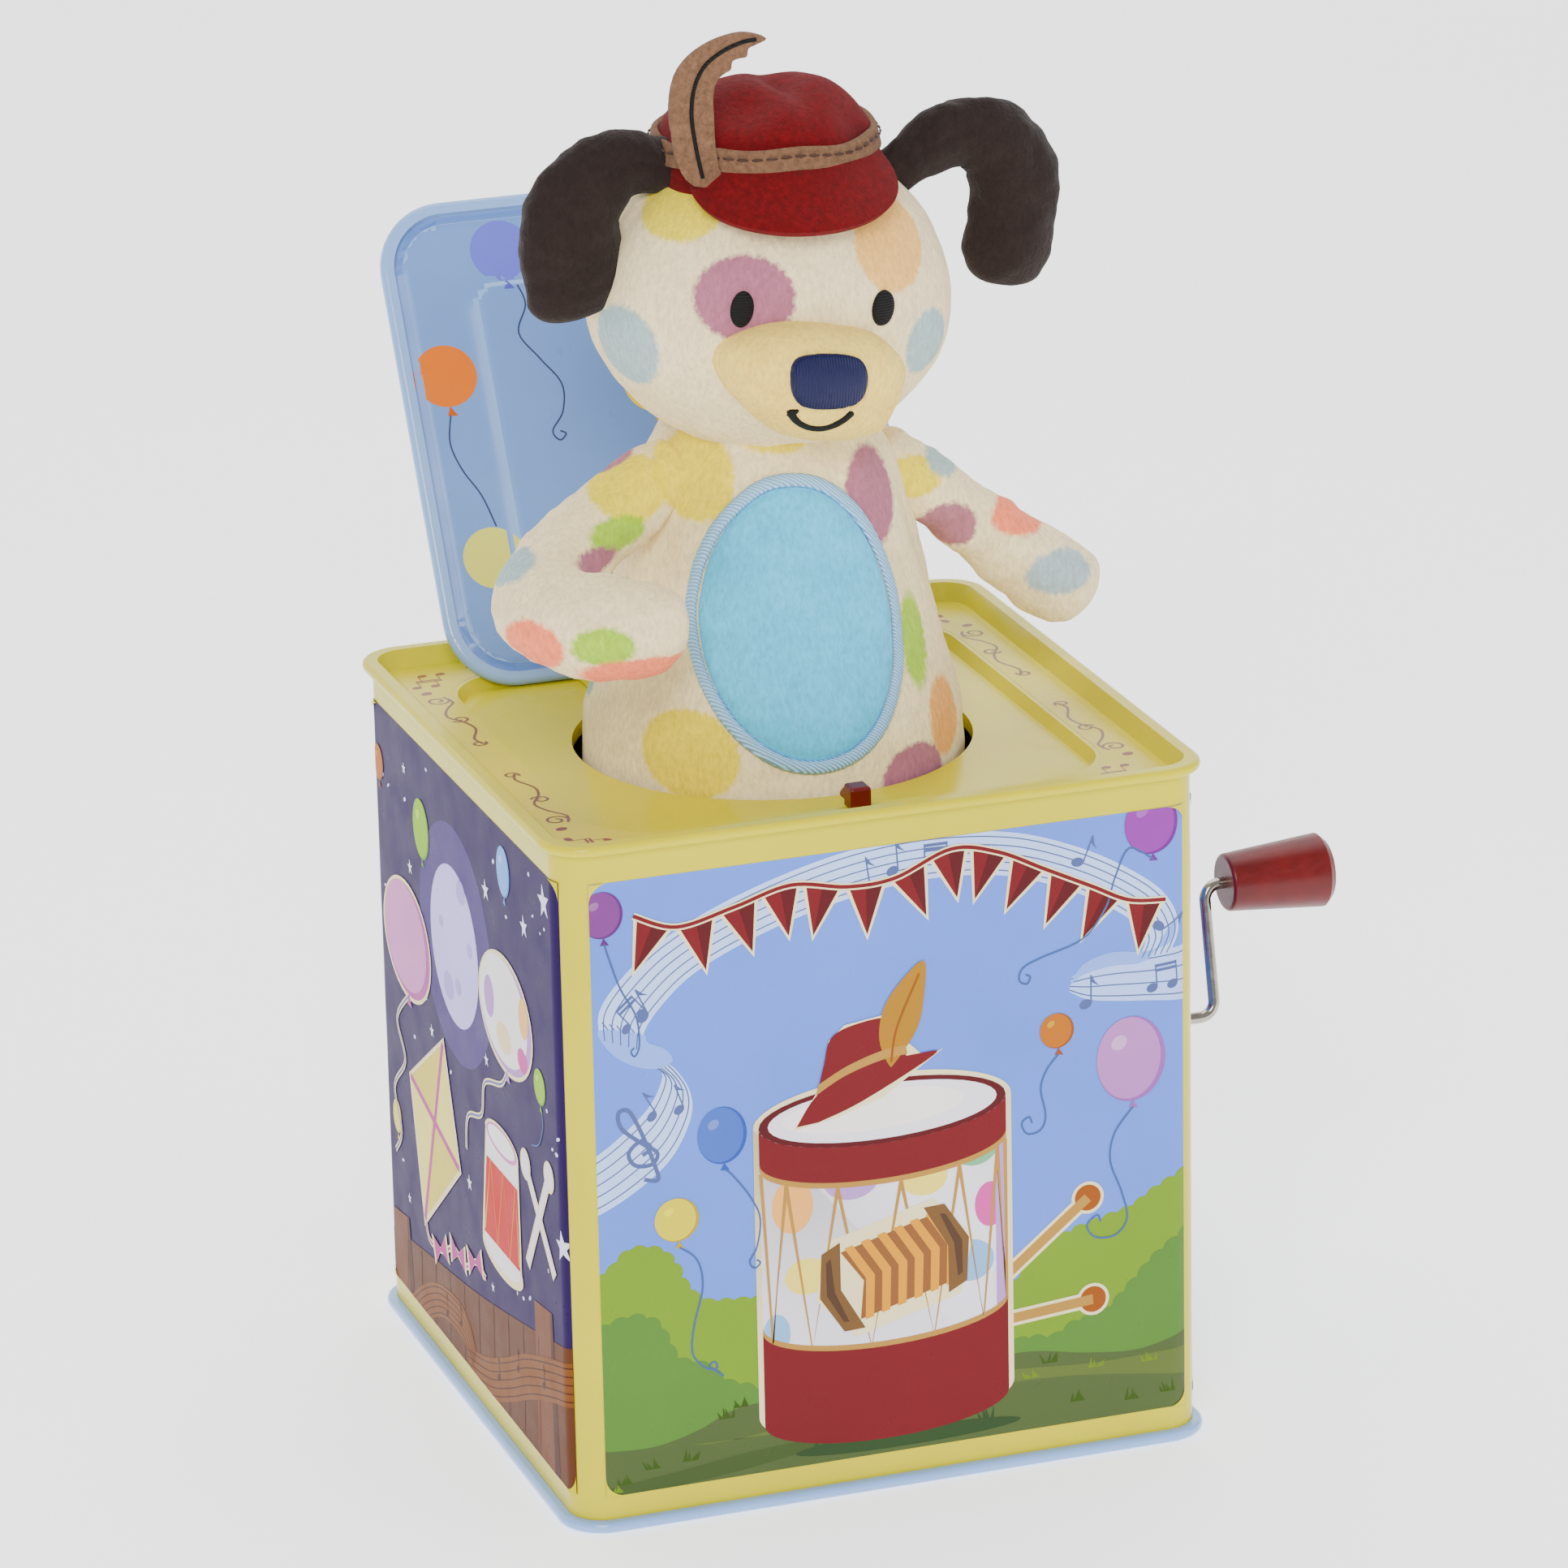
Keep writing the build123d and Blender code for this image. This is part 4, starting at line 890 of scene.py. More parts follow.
def night_scene(art, stars_seed):
    """A starry sky with a moon, and a fence with a ribbon of music painted on it."""
    art.fill([(-63, 6), (65, 6), (65, 140), (-63, 140)], "#3D2C59", 0)
    art.fill(oval(-6, 102, 25.5, 26), "#594A7B", 1)
    art.fill(oval(-7, 101.3, 16.8, 17.4), "#CAC4E8", 2)
    for x, z, r in ((-1, 115, 2.6), (-12, 91, 3.0), (-5, 93, 1.8), (4, 104, 1.6), (-16, 104, 1.3)):
        art.fill(oval(x, z, r * 1.2, r), "#B2ABD6", 3)
    pick = random.Random(stars_seed)
    for _ in range(46):
        x, z = pick.uniform(-60, 62), pick.uniform(36, 137)
        if math.hypot(x + 6, z - 102) > 27:
            wide, high, lean = pick.uniform(0.35, 1.0), pick.uniform(0.3, 0.5), pick.uniform(0, 40)
            art.fill(oval(x, z, wide, high, lean, 10), "#DCDDF2", 2)
    for x, z, r in (
        (57, 132.3, 3.8), (43, 122.4, 2.6), (17, 121.6, 2.5), (-38, 108.5, 1.8), (62, 60.5, 3.6),
        (-2, 50.6, 1.9), (13.5, 83.5, 1.6), (-26, 76, 1.6), (-48, 30, 1.3), (12.6, 32.8, 1.2),
        (-40, 129.8, 1.4),
    ):
        star(art, x, z, r)
    # fence with a painted ribbon of music
    rail = smooth_line([(-55, 19.4), (-30, 22.8), (0, 26.8), (30, 32.2), (66, 39.5)], 4)
    art.fill([(-64, 6), (-64, 18.2), *rail, (66, 6)], "#6C4E3E", 4)
    for x, z in ((-53.5, 25), (49.5, 43)):
        art.fill([(x - 7.5, 6), (x - 7.5, z - 1.5), (x + 4.6, z), (x + 7, 6)], "#7B5949", 5)
        art.fill([(x + 3.3, 6), (x + 3, z - 0.6), (x + 4.6, z), (x + 7, 6)], "#583D33", 6)
    for k in range(-5, 6):
        x = k * 10.5 + 2
        top = 22.5 + (x + 30) * 0.155
        art.stroke([(x - 1.6, 6), (x - 0.5, 14), (x, top)], 0.34, "#573B31", 6)
    for upper, lower in (
        ([(-50, 6.5), (-40, 13), (-28, 18), (-14, 19.8), (-6, 18), (-1, 12.8)],
         [(-38, 5), (-32, 8.5), (-24, 11.5), (-14, 12.4), (-8, 11), (-4, 8)]),
        ([(-8, 11.8), (6, 14.6), (20, 20), (34, 26.4), (50, 31.8), (66, 36.5)],
         [(-6, 4), (10, 6.4), (24, 11.6), (38, 17.8), (52, 22.8), (66, 26.8)]),
    ):
        staff_band(art, upper, lower, "#846147", "#573B31", 7)
    for x, z in ((-22, 13.5), (-12, 15), (15, 13.5), (29, 21), (47, 24.5)):
        quaver(art, x, z, 0.7, "#573B31", 9, 12)


def night_toys(art):
    """Big balloons, a kite and a toy drum in the places of the night picture's figures."""

    def big(x, z, rx, rz, code, dark, string):
        for width, ink, layer in ((1.3, CREAM, 8), (0.5, "#7F7FA8", 9)):
            art.stroke([(x, z - rz), *string], width, ink, layer)
        art.fill(oval(x, z, rx + 0.9, rz + 0.9), CREAM, 8)
        art.fill(oval(x, z, rx, rz), dark, 9)
        art.fill(oval(x - rx * 0.07, z + rz * 0.04, rx * 0.92, rz * 0.95), code, 10)
        art.fill([(x - 1.6, z - rz - 2.4), (x + 1.8, z - rz - 2.4), (x, z - rz + 0.4)], dark, 9)

    big(-42, 91, 16.5, 12.5, "#C99ABE", "#AE6FA0", [(-52, 70), (-47, 62), (-56, 53), (-52, 44), (-57, 38)])
    big(28.5, 98.5, 17.5, 12, "#EDEAEC", MAUVE, [(24, 82), (12, 78), (9, 70), (-1, 66), (-3, 58)])
    for x, z, rx, rz, code in (
        (17.5, 99, 3.4, 4.5, "#B79CC6"), (41, 102, 3.2, 4.4, "#E4C79A"), (39.5, 92.5, 3.2, 2.6, "#C26AA0"),
        (27, 93, 5.2, 3.2, "#E9D9C2"),
    ):
        art.fill(oval(x, z, rx, rz), code, 11)
    # a yellow kite with bows on its tail, on the left
    top, left, right, foot, middle = (-18, 76), (-43, 60), (-9, 51), (-36, 30), (-27.6, 56.1)
    for grow, code, layer in ((1.08, CREAM, 8), (1.0, "#E8E0A6", 9)):
        at = placer(*middle, 0, grow)
        art.fill([at(x - middle[0], z - middle[1]) for x, z in (top, left, foot, right)], code, layer)
    art.fill([top, middle, left], "#D9CF8E", 10)
    art.fill([middle, right, foot], "#D9CF8E", 10)
    for ends in ((top, foot), (left, right)):
        art.stroke(ends, 1.5, "#B05C97", 11, 0)
    tail = [foot, (-33, 26), (-24, 27), (-15, 31), (-7, 30), (1, 34), (8, 33)]
    for width, ink, layer in ((1.5, CREAM, 8), (0.6, "#B05C97", 9)):
        art.stroke(tail, width, ink, layer)
    for x, z, turn in ((-25, 27, 20), (-12, 30.8, 5), (0.5, 33.8, 15)):
        for size, code, layer in ((1.25, CREAM, 10), (1.0, "#B05C97", 11)):
            for way in (1, -1):
                at = placer(x, z, turn, size * way)
                art.fill([at(-0.4, 0), at(4.6, 2.7), at(4.6, -2.7)], code, layer)
    # a red and white toy drum, with its sticks crossed beside it
    halo_top = oval(22.6, 68.5, 11.4, 3.6, 0, 20, 180, 0)
    halo_foot = oval(20.8, 42, 14.0, 4.2, 0, 20, 360, 180)
    art.fill([(7.0, 44), (11.6, 69), *halo_top, (34.0, 44), *halo_foot], CREAM, 8)
    foot = oval(20.5, 43, 12.6, 3.6, 0, 20, 360, 180)
    art.fill([(8.2, 43.5), (12.4, 68.5), (32.8, 68.5), (32.9, 43.5), *foot], "#EDEAEC", 9)
    art.band([(8.4, 44), (9.8, 53), (11.6, 62)], [(32.9, 44), (32.9, 53), (32.8, 62)], "#B5383C", 10)
    lacing = [(9, 45), (14.4, 62), (17.6, 44), (23, 62), (26, 44), (31.6, 62), (32.6, 45)]
    art.stroke(lacing, 0.8, "#DDB56C", 11, 0)
    art.fill(oval(22.6, 68.5, 10.4, 3.0), "#C99ABE", 10)
    art.fill(oval(22.6, 68.7, 9.2, 2.4), "#F1EFEF", 11)
    for (x, z), (head_x, head_z) in (((38.5, 48), (55, 73)), ((57, 52), (39, 70))):
        for grow, code, layer in ((1.2, CREAM, 8), (0.0, "#E9E4E8", 9)):
            art.stroke([(x, z), (head_x, head_z)], 1.9 + grow, code, layer, 0)
            art.fill(oval(head_x, head_z, 2.8 + grow / 2, 2.8 + grow / 2), code, layer)


def left_panel():
    """The night picture with toys in place of its figures."""
    art = new_panel("print_left", -1)
    night_scene(art, 3)
    night_toys(art)
    balloon(art, -28.5, 120, 5.6, 6.6, GREEN, None)
    balloon(art, 30, 129.8, 4.3, 5.4, PALE, None)
    balloon(art, -59, 125.3, 3.4, 4.0, ORANGE, None)
    balloon(art, -55, 46.4, 3.0, 3.8, ("#E3DC9A", "#C9BE78", None), None)
    balloon(art, 50.6, 90.8, 3.8, 3.8, GREEN, [(52, 83), (49, 78), (44, 76)])
    panel_corners(art)
    art.finish("box", "printed_tin", 0.02)


def right_panel():
    """The day picture again, with other balloons, as this side isn't in the photo."""
    art = new_panel("print_right", 1)
    day_scene(art)
    balloon(art, -30, 92, 8.5, 10, PURPLE, [(-28, 78), (-31, 70), (-27, 62), (-30, 54)])
    balloon(art, 24, 98, 7.5, 9, GOLD, [(26, 84), (22, 76), (25, 68), (22, 61)])
    balloon(art, -2, 84, 9, 11, ("#933B3A", "#742B2D", "#B5706C"), [(0, 70), (-4, 61), (1, 53), (-2, 45)])
    balloon(art, 46, 80, 6, 7, BLUE, [(47, 69), (44, 62), (48, 55)])
    balloon(art, -52, 62, 4.4, 5, PINK, [(-51, 54), (-53, 48), (-50, 43)])
    panel_corners(art)
    art.finish("box", "printed_tin", 0.16)


def back_panel():
    """The night picture again, with balloons only, as this side isn't in the photo."""
    art = new_panel("print_back", 2)
    night_scene(art, 11)
    balloon(art, 34, 104, 8, 9.5, GREEN, [(35, 90), (31, 80), (36, 70), (32, 58)])
    balloon(art, -44, 84, 9, 11, PINK, [(-43, 70), (-47, 60), (-42, 50), (-45, 38)])
    balloon(art, 12, 66, 7, 8.5, ORANGE, [(13, 54), (9, 47), (13, 40)])
    balloon(art, 50, 74, 5, 6, PALE, [(51, 64), (48, 57), (51, 50)])
    panel_corners(art)
    art.finish("box", "printed_tin", 0.02)


front_panel()
left_panel()
right_panel()
back_panel()


# ---------------------------------------------------------------- printed deck band
def deck_band():
    """Scrolls and notes on the pale band round the lid's recess."""
    surface = BVHTree.FromObject(NODES["deck"], bpy.context.evaluated_depsgraph_get())

    def lay(x, y, layer):
        hit = surface.ray_cast(Vector((x * MM, y * MM, 0.16)), Vector((0, 0, -1)))[0]
        z = hit.z if hit is not None else 0.1432
        return Vector((x * MM, y * MM, z + (0.05 + LAYER * layer) * MM))

    steps = [-55.2, -50, -45, -40, 40, 45, 50, 55.2]
    art = Print("print_deck", (-64, -64), (64, 64), lay, (steps, steps))
    outer, inner = rounded_square(63.4, 4.5), rounded_square(56.0, 16.0)
    art.band([*outer, outer[0]], [*inner, inner[0]], "#D2C83C", 0)

    def spiral(cx, cy, r, start, sweep):
        found, n = [], 22
        for k in range(n + 1):
            a, d = math.radians(start + sweep * k / n), r * (1 - 0.75 * k / n)
            found.append((cx + d * math.cos(a), cy + d * math.sin(a)))
        return found

    scrolls = (
        [(43, -58), (39, -57), (35, -59.5), (30, -61), (25, -58.5), (20, -57.8), (14, -60), (10, -58.6)],
        spiral(41, -59.8, 2.6, 70, 470), spiral(27.6, -58.9, 2.0, 250, -460), spiral(11, -59.9, 1.7, 60, 430),
    )
    for turn in (0, 90, 180, 270):
        at = placer(0, 0, turn)
        for flip in (1, -1):
            for points in scrolls:
                art.stroke([at(x * flip, y) for x, y in points], 0.62, "#80602E", 1, 3)
            px, py = at(52.0 * flip, -59.2)
            beamed(art, px - 2, py - 1, 0.8, "#84542C", 1, turn + (0 if flip > 0 else 90))
            art.fill(oval(*at(46.5 * flip, -60.5), 1.3, 1.0, 20, 16), "#84542C", 1)
    art.finish("box", "deck_tin")


deck_band()


# ---------------------------------------------------------------- printed inside of the lid
def lid_print():
    """Sky and balloons on the inside of the lid, laid over its pressed shape."""
    surface = BVHTree.FromObject(NODES["lid"], bpy.context.evaluated_depsgraph_get())
    lean = math.radians(180 - 119.4)
    origin = Vector((0, 0.0515, 0.1424))
    along = Vector((0, math.cos(lean), math.sin(lean)))
    out = Vector((0, -math.sin(lean), math.cos(lean)))

    def lay(x, v, layer):
        start = origin + Vector((x * MM, 0, 0)) + along * (v * MM) + out * 0.01
        hit = surface.ray_cast(start, -out)[0]
        height = (hit - start).dot(-out) if hit is not None else 0.01
        return start - out * height + out * ((0.06 + LAYER * layer) * MM)

    # the artwork is cut into a fine grid, so that it follows the pressed shape
    steps = [k * 1.5 for k in range(-34, 35)]
    grid = (steps, [51.5 + step for step in steps])
    art = Print("print_lid", (-50.2, 1.3), (50.2, 101.7), lay, grid)
    art.fill(rounded_square(50, 11.9, 51.5), "#8BA2CA", 0)
    for x, v, r, main, dark, line in (
        (-26, 92.5, 6.8, "#7D80C8", "#6A6CB4",
         [(-24, 84.5), (-23, 80), (-25.6, 74), (-22, 68), (-18.2, 62), (-19, 56), (-22, 52), (-20.8, 49.8),
          (-19.2, 51), (-20.4, 51.8)]),
        (-43, 66.6, 6.9, "#D08A30", "#B57426",
         [(-43.4, 58), (-44.6, 52), (-43, 46), (-39.8, 40), (-37.8, 33)]),
        (-39.5, 26.3, 6.8, "#D9D99A", "#C3C284", [(-39.6, 18), (-41, 13), (-38.4, 9)]),
        (20, 88, 7.0, "#C99BCF", "#AB7CBB", [(20.4, 80), (23, 74), (19, 67), (22, 60), (20, 53)]),
        (40, 62, 6.6, "#A5C255", "#86A544", [(40.4, 54), (38, 48), (41.4, 41), (39, 34)]),
        (2, 60, 6.6, "#EFD94C", "#CDB138", [(2.4, 52), (5, 45), (1, 38), (3, 30)]),
        (33, 22, 6.2, "#6E90D8", "#5775BE", [(33.2, 15), (31, 11), (33, 7)]),
    ):
        art.fill(oval(x, v, r, r * 0.98), main, 2)
        art.fill([(x - 0.2, v - r + 0.3), (x + 1.3, v - r - 1.9), (x - 1.0, v - r - 1.8)], dark, 2)
        art.stroke(line, 0.34, "#4C5470", 3)
    art.finish("lid", "lid_tin")


lid_print()


# ---------------------------------------------------------------- soft pieces
def mesh_piece(name, verts, faces, material, body, node, slot_name):
    """A mesh from points in millimetres, with its rest place stored for the cloth patterns."""
    mesh = bpy.data.meshes.new(name)
    mesh.from_pydata([tuple(c * MM for c in v) for v in verts], [], faces)
    mesh.validate()
    shape = bmesh.new()
    shape.from_mesh(mesh)
    bmesh.ops.recalc_face_normals(shape, faces=shape.faces[:])
    shape.to_mesh(mesh)
    shape.free()
    mesh.shade_smooth()
    mesh.materials.append(material)
    made = add(name, mesh)
    store_rest(made)
    if node:
        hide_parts(node)
    if body:
        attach(made, body)
    return made


def store_rest(made):
    """Stores each point's rest place, in millimetres, as an attribute."""
    mesh = made.data
    found = mesh.attributes.get("rest") or mesh.attributes.new("rest", "FLOAT_VECTOR", "POINT")
    co = np.zeros(len(mesh.vertices) * 3, np.float32)
    mesh.vertices.foreach_get("co", co)
    found.data.foreach_set("vector", co * 1000)


def grid_faces(rows, columns, ends="open"):
    """Quads over rings of points: open at the ends, with caps, or joined in a loop."""
    faces = []
    for r in range(rows if ends == "loop" else rows - 1):
        near, far = r * columns, (r + 1) % rows * columns
        for c in range(columns):
            d = (c + 1) % columns
            faces.append((near + c, near + d, far + d, far + c))
    if ends == "caps":
        last = (rows - 1) * columns
        faces += [tuple(range(columns)), tuple(range(last, last + columns))]
    return faces


def ring_points(centre, side, other, wide, high, n, lift=0.0):
    """An oval ring of points round a centre, in the plane of two directions."""
    angles = [2 * math.pi * k / n for k in range(n)]
    return [tuple(centre + side * math.cos(a) * wide + other * (math.sin(a) * high + lift)) for a in angles]


def ball_mesh(centre, shape_of, rows=72, columns=110):
    """A closed star-shaped form: shape_of(direction) gives the point for each direction."""
    verts, faces = [], []
    for r in range(1, rows):
        t = math.pi * r / rows
        for c in range(columns):
            a = 2 * math.pi * c / columns
            flat = math.sin(t)
            verts.append(shape_of(Vector((flat * math.cos(a), flat * math.sin(a), math.cos(t)))))
    faces = grid_faces(rows - 1, columns)
    top, bottom = len(verts), len(verts) + 1
    verts += [shape_of(Vector((0, 0, 1))), shape_of(Vector((0, 0, -1)))]
    last = (rows - 2) * columns
    for c in range(columns):
        d = (c + 1) % columns
        faces.append((top, c, d))
        faces.append((bottom, last + d, last + c))
    return [tuple(Vector(v) + Vector(centre)) for v in verts], faces


def spline3(points, t):
    """Catmull-Rom through points of any length at t from 0 to 1."""
    pts = [np.array(p, float) for p in points]
    n = len(pts) - 1
    i = min(int(t * n), n - 1)
    f = t * n - i
    a, b, c, d = pts[max(i - 1, 0)], pts[i], pts[i + 1], pts[min(i + 2, n)]
    return catmull(a, b, c, d, f)


def stuffed_tube(stations, rows, columns, wrinkle, seam, seam_side, seed):
    """A stuffed limb. Each station is (x, y, z, half width in the bend's plane, half width across it)."""
    verts = []
    length = sum(math.dist(a[:3], b[:3]) for a, b in zip(stations, stations[1:]))
    across = Vector((0, 1, 0))
    seam_way = Vector(seam_side).normalized()
    for r in range(rows + 1):
        t = r / rows
        p = spline3(stations, t)
        ahead, behind = spline3(stations, min(t + 0.01, 1.0)), spline3(stations, max(t - 0.01, 0.0))
        d = Vector((ahead - behind)[:3]).normalized()
        across = (across - d * across.dot(d)).normalized()
        inplane = d.cross(across).normalized()
        # the ends close in a round cap
        near = min(t, 1 - t) * length
        close = math.sqrt(1 - (1 - min(near / (0.9 * max(p[3], p[4])), 1)) ** 2)
        for c in range(columns):
            a = 2 * math.pi * c / columns
            e = inplane * math.cos(a) * p[3] + across * math.sin(a) * p[4]
            out = e.normalized()
            point = Vector(p[:3]) + e * close
            rough = noise.noise(point * 0.13 + Vector((seed, 0, 0))) * wrinkle * 2
            rough += noise.noise(point * 0.32 + Vector((0, seed, 0))) * wrinkle
            from_seam = math.acos(max(-1, min(1, out.dot(seam_way))))
            fold = seam * math.exp(-((from_seam / 0.11) ** 2))
            verts.append(tuple(point + out * (rough - fold) * close))
    return verts, grid_faces(rows + 1, columns, "caps")


TILT = math.radians(6)
head_x = Vector((math.cos(TILT), 0, -math.sin(TILT)))
head_z = Vector((math.sin(TILT), 0, math.cos(TILT)))
HEAD = Vector((0, -4, 237))


def head_point(d):
    """The stuffed head: full cheeks, a narrower forehead and a soft chin."""
    x, y, z = d.dot(head_x), d.y, d.dot(head_z)
    wide = 36.4 * (1 + 0.04 * math.exp(-(((z + 0.2) / 0.35) ** 2)) - 0.06 * max(0, z) ** 2)
    r = 1 / ((abs(x) / wide) ** 2.08 + (abs(y) / 31.5) ** 2.08 + (abs(z) / 32.5) ** 2.08) ** (1 / 2.08)
    p = (head_x * x + Vector((0, y, 0)) + head_z * z) * r
    r += 0.35 * noise.noise(p * 0.09) + 0.16 * noise.noise(p * 0.28)
    # side seams from ear to chin
    r -= 0.55 * math.exp(-(((p.y + 1.5 + 0.1 * p.z) / 1.1) ** 2)) * (1 if abs(x) > 0.2 else abs(x) / 0.2)
    return (head_x * x + Vector((0, y, 0)) + head_z * z) * r


CREAM_CLOTH = "#F9ECD0"
SPOT_YELLOW, SPOT_MAUVE, SPOT_PEACH, SPOT_BLUE = "#EEE032", "#A8768C", "#F0CC98", "#B4C6C8"
SPOT_LIME, SPOT_CORAL = "#B4D04C", "#EC9A84"
HEAD_SPOTS = [
    (-14.6, -32, 243.6, 9.9, 14, 8.5, SPOT_MAUVE),
    (17.4, -28, 250.8, 8.8, 14, 9.8, SPOT_PEACH),
    (-24, -18, 260.5, 9.2, 12, 7.0, SPOT_YELLOW),
    (-34, -15, 231.8, 7.2, 10, 8.6, SPOT_BLUE),
    (25.5, -26, 229.0, 6.5, 10, 7.0, SPOT_BLUE),
    (8, 28, 246, 10, 9, 9, SPOT_YELLOW),
    (-18, 25, 232, 8, 9, 9, SPOT_CORAL),
    (22, 22, 226, 8, 9, 8, SPOT_LIME),
    (-30, 12, 250, 7, 9, 7, SPOT_LIME),
    (35, 6, 246, 6, 9, 8, SPOT_MAUVE),
]
head_verts, head_faces = ball_mesh(HEAD, head_point)
HEAD_CLOTH = plush("head_cloth", CREAM_CLOTH, HEAD_SPOTS)
head_skin = mesh_piece("head_skin", head_verts, head_faces, HEAD_CLOTH, "puppet", "head", "dotted_plush")


def tree_of(*objects):
    """One surface to lay stitching on, from several meshes."""
    verts, faces = [], []
    for o in objects:
        start = len(verts)
        verts += [v.co.copy() for v in o.data.vertices]
        faces += [[start + i for i in f.vertices] for f in o.data.polygons]
    return BVHTree.FromPolygons(verts, faces)


def seen_on(surface, x, y, z):
    """Where the line of sight through a point meets a surface, or the surface's nearest point."""
    point = Vector((x, y, z)) * MM
    hit = surface.ray_cast(point + back * 0.08, -back)[0]
    return hit if hit is not None else surface.find_nearest(point)[0]


def on_surface(surface, points, y):
    """Outline points at depth y moved along the line of sight to the surface, as (x, z)."""
    return [(hit.x * 1000, hit.z * 1000) for hit in (seen_on(surface, px, y, pz) for px, pz in points)]


def front_of(surface, x, z):
    """The surface's point straight behind (x, z), in metres, and its normal there, towards the front."""
    hit, normal = surface.ray_cast(Vector((x * MM, -0.12, z * MM)), Vector((0, 1, 0)))[:2]
    if hit is None:
        hit, normal = surface.find_nearest(Vector((x * MM, -0.03, z * MM)))[:2]
    return hit, (-normal if normal.y > 0 else normal)


def applique(
    name, surface, outline, dome, lift, material, body, node, slot_name,
    rings=10, sink=0.4, power=4.0, push=0.0,
):
    """Raised stitching laid on a surface from the front. Outline is in (x, z), in millimetres."""
    cx = sum(p[0] for p in outline) / len(outline)
    cz = sum(p[1] for p in outline) / len(outline)
    verts = []
    for k in range(rings + 1):
        t = 1 - k / rings
        height = lift + dome * math.sqrt(max(0, 1 - t ** power)) if k else -sink
        t = max(t, 0.02)
        for x, z in outline:
            hit, normal = front_of(surface, cx + (x - cx) * t, cz + (z - cz) * t)
            normal = normal.lerp(Vector((0, -1, 0)), push).normalized()
            verts.append(tuple((hit + normal * height * MM) * 1000))
    n = len(outline)
    faces = grid_faces(rings + 1, n)
    faces.append(tuple(range(rings * n, rings * n + n)))
    return mesh_piece(name, verts, faces, material, body, node, slot_name)


MUZZLE_CLOTH = plush("muzzle_cloth", "#FAE2A6")
MUZZLE_OUTLINE = [
    (-22.6, 233.6), (-20, 236.7), (-12.3, 238.7), (-4.7, 238.6), (3, 237.1), (11.5, 234.5), (16.9, 229.2),
    (16.8, 224.2), (12.9, 217.9), (6, 215.3), (-2.6, 215.3), (-11.1, 218.1), (-18.6, 224.9),
    (-21.9, 229.9),
]
head_tree = tree_of(head_skin)
muzzle_edge = on_surface(head_tree, smooth_line(MUZZLE_OUTLINE, 7, True), -34)
muzzle_skin = applique(
    "muzzle_skin", head_tree, muzzle_edge, 10.6, 0.2, MUZZLE_CLOTH, "puppet", "muzzle", "pale_plush", 26,
    sink=1.6, power=2.6, push=0.75,
)

face_tree = tree_of(head_skin, muzzle_skin)
BLACK_THREAD = thread("black_thread", "#0B0A09", "Z", 0.7)
BLUE_THREAD = thread("nose_thread", "#101850", "X", 0.5, 0.6)
for name, eye, depth in (
    ("eye_1", oval(-15.6, 241.9, 2.6, 3.9, -6, 28), -33),
    ("eye_2", oval(14.6, 238.2, 2.3, 3.9, -10, 28), -31),
):
    edge = on_surface(face_tree, eye, depth)
    applique(name, face_tree, edge, 0.6, 0.35, BLACK_THREAD, "puppet", "eyes", "black_thread")
NOSE_OUTLINE = [
    (-10.5, 230.5), (-10.2, 233.2), (-8.6, 234.9), (-5.5, 235.2), (-2, 234.9), (1.5, 234.3), (4.2, 233.2),
    (5.6, 231.2), (5.9, 228.6), (5.4, 226), (3.8, 224.2), (1, 223.5), (-2.5, 223.6), (-6, 224.1),
    (-8.8, 225.2), (-10.2, 227.5),
]
nose_edge = on_surface(face_tree, smooth_line(NOSE_OUTLINE, 5, True), -46)
applique("nose_stitching", face_tree, nose_edge, 0.9, 0.6, BLUE_THREAD, "puppet", "nose", "nose_thread", 12)


def stitched_line(name, points, width, per=10):
    """A narrow raised line of black stitching on the face, thinner at its ends."""
    points = on_surface(face_tree, points, -44)
    line = [Vector((p[0], 0, p[1])) for p in smooth_line(points, per)]
    verts, n = [], 6
    for i, p in enumerate(line):
        hit, normal = front_of(face_tree, p.x, p.z)
        side = normal.cross(heading(line, i)).normalized()
        taper = min(1, 0.35 + 0.65 * min(i, len(line) - 1 - i) / 2)
        verts += ring_points(hit * 1000, side, normal, width / 2 * taper, 0.5 * taper, n, 0.05)
    mesh_piece(name, verts, grid_faces(len(line), n, "caps"), BLACK_THREAD, "puppet", None, "black_thread")


MOUTH = [
    (-9.6, 223.6), (-9.3, 222.3), (-8.0, 220.8), (-5.8, 219.6), (-3.2, 219.1), (-0.6, 219.4), (1.6, 220.3),
    (3.4, 221.6),
]
stitched_line("mouth_stitching", MOUTH, 1.9)
stitched_line("mouth_corner", [(-10.4, 222.6), (-8.9, 223.0), (-7.9, 223.1)], 1.3, 4)
# ears
EAR_CLOTH = plush("ear_cloth", "#3E3634", (), 1.2, 0.10, (1.0, 1.0, 0.6))
left_ear = stuffed_tube(
    [(-9, -6, 259.5, 3.4, 3.6), (-16, -6, 262.6, 4.2, 4.0), (-24, -6, 265.8, 5.6, 4.6),
     (-32, -6, 266.4, 7.4, 5.2), (-39.5, -6.5, 261.5, 9.8, 5.8), (-42.6, -7, 254.5, 10.6, 6.0),
     (-42.6, -7, 247.5, 10.6, 5.8), (-41.4, -7, 241, 10.5, 5.4), (-40.4, -7, 236.5, 10.0, 4.8)],
    rows=90, columns=40, wrinkle=0.5, seam=0.5, seam_side=(0, -1, 0.2), seed=2.0,
)
left_ear = mesh_piece("left_ear_cloth", *left_ear, EAR_CLOTH, "puppet", "left_ear", "brown_plush")
